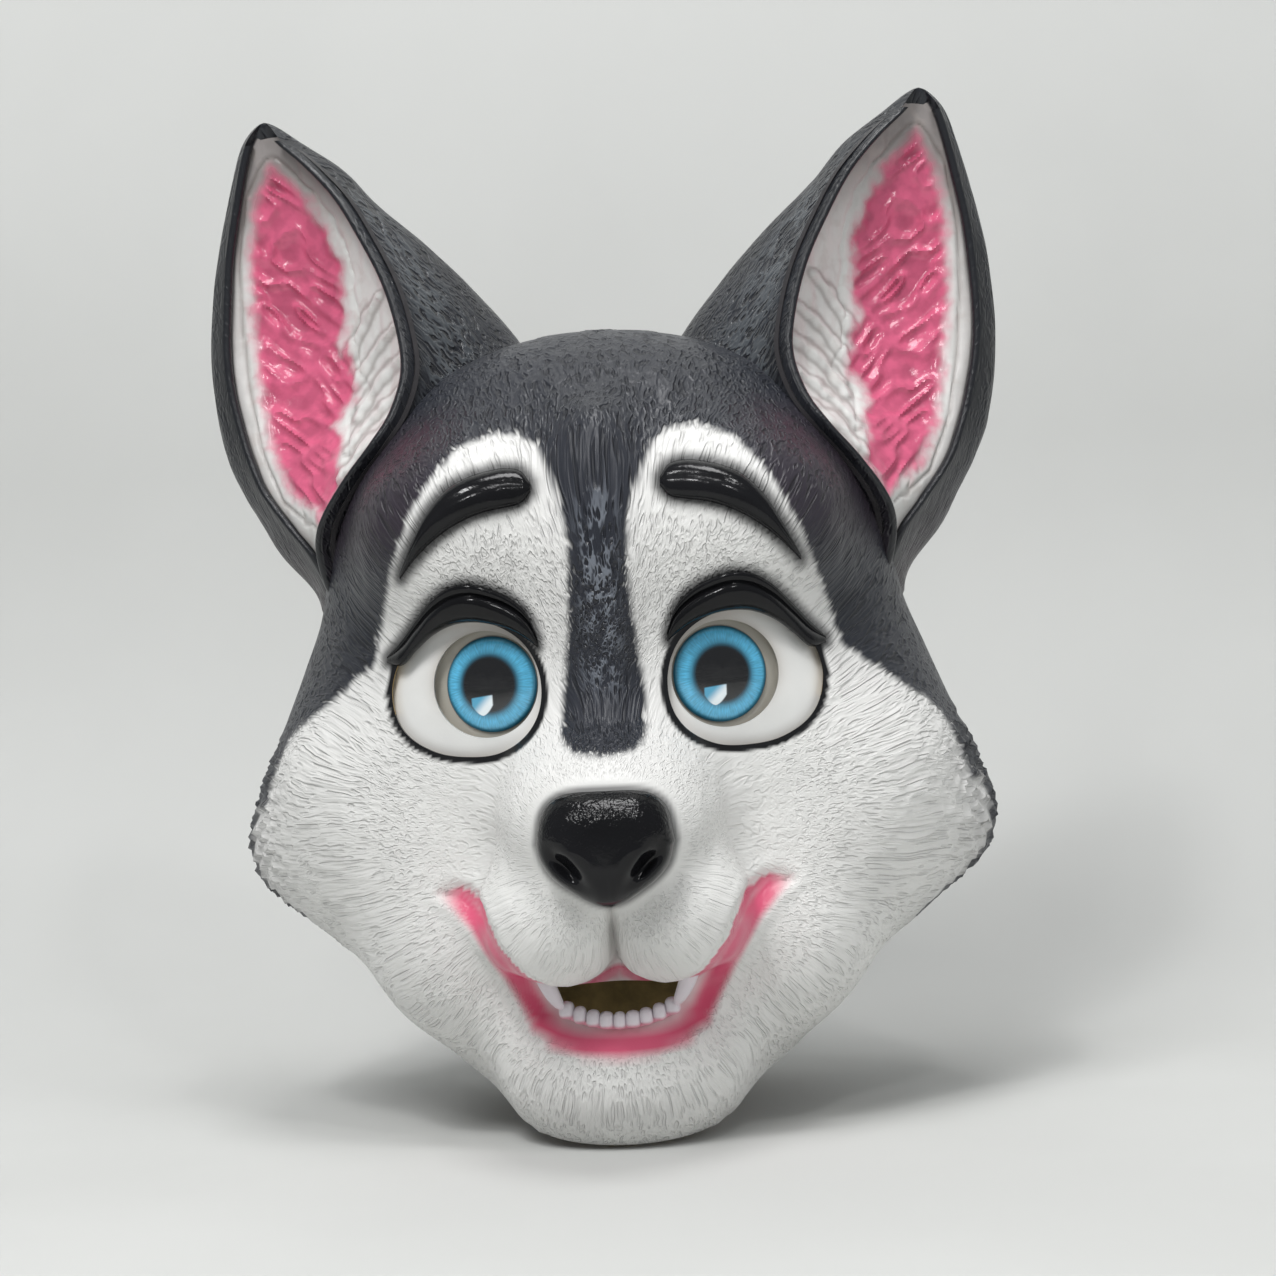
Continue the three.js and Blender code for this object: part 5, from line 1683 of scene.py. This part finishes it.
class HUSKYMASK_OT_ears(bpy.types.Operator):
    """Build both hollow ears"""

    bl_idname = "huskymask.ears"
    bl_label = "Ears"

    def execute(self, context):
        build_ears(context)
        return {"FINISHED"}


class HUSKYMASK_OT_linings(bpy.types.Operator):
    """Build the pink patched linings of both ears"""

    bl_idname = "huskymask.linings"
    bl_label = "Ear linings"

    def execute(self, context):
        build_linings(context)
        return {"FINISHED"}


class HUSKYMASK_OT_eyes(bpy.types.Operator):
    """Build the eye shells and the irises behind them"""

    bl_idname = "huskymask.eyes"
    bl_label = "Eyes"

    def execute(self, context):
        build_eyes(context)
        return {"FINISHED"}


class HUSKYMASK_OT_lids_and_brows(bpy.types.Operator):
    """Build the upper lids and the brows"""

    bl_idname = "huskymask.lids_and_brows"
    bl_label = "Lids and brows"

    def execute(self, context):
        build_lids_and_brows(context)
        return {"FINISHED"}


class HUSKYMASK_OT_nose(bpy.types.Operator):
    """Build the pebbled nose with its nostrils"""

    bl_idname = "huskymask.nose"
    bl_label = "Nose"

    def execute(self, context):
        build_nose(context)
        return {"FINISHED"}


class HUSKYMASK_OT_teeth(bpy.types.Operator):
    """Build the row of lower teeth and the two canines"""

    bl_idname = "huskymask.teeth"
    bl_label = "Teeth"

    def execute(self, context):
        build_teeth(context)
        return {"FINISHED"}


class HUSKYMASK_OT_stage(bpy.types.Operator):
    """Set the pale sweep, the soft lights and the camera"""

    bl_idname = "huskymask.stage"
    bl_label = "Stage"

    def execute(self, context):
        build_stage(context)
        return {"FINISHED"}


OPERATORS = (
    HUSKYMASK_OT_hood,
    HUSKYMASK_OT_ears,
    HUSKYMASK_OT_linings,
    HUSKYMASK_OT_eyes,
    HUSKYMASK_OT_lids_and_brows,
    HUSKYMASK_OT_nose,
    HUSKYMASK_OT_teeth,
    HUSKYMASK_OT_stage,
)


class HUSKYMASK_PT_panel(bpy.types.Panel):
    """The mask's settings and its building steps"""

    bl_idname = "HUSKYMASK_PT_panel"
    bl_label = "Husky Hood Mask"
    bl_space_type = "VIEW_3D"
    bl_region_type = "UI"
    bl_category = "Hood Mask"

    def draw(self, context):
        layout = self.layout
        for settings in (context.scene.mask_sizes, context.scene.mask_colours):
            for key in type(settings).__annotations__:
                layout.prop(settings, key)
        for operator in OPERATORS:
            layout.operator(operator.bl_idname)


CLASSES = (MaskColours, MaskSizes, *OPERATORS, HUSKYMASK_PT_panel)


def register():
    for item in CLASSES:
        bpy.utils.register_class(item)
    bpy.types.Scene.mask_colours = bpy.props.PointerProperty(type=MaskColours)
    bpy.types.Scene.mask_sizes = bpy.props.PointerProperty(type=MaskSizes)


def unregister():
    del bpy.types.Scene.mask_sizes
    del bpy.types.Scene.mask_colours
    for item in reversed(CLASSES):
        bpy.utils.unregister_class(item)


def main():
    register()
    bpy.ops.huskymask.hood()
    bpy.ops.huskymask.ears()
    bpy.ops.huskymask.linings()
    bpy.ops.huskymask.eyes()
    bpy.ops.huskymask.lids_and_brows()
    bpy.ops.huskymask.nose()
    bpy.ops.huskymask.teeth()
    bpy.ops.huskymask.stage()


if __name__ == "__main__":
    main()
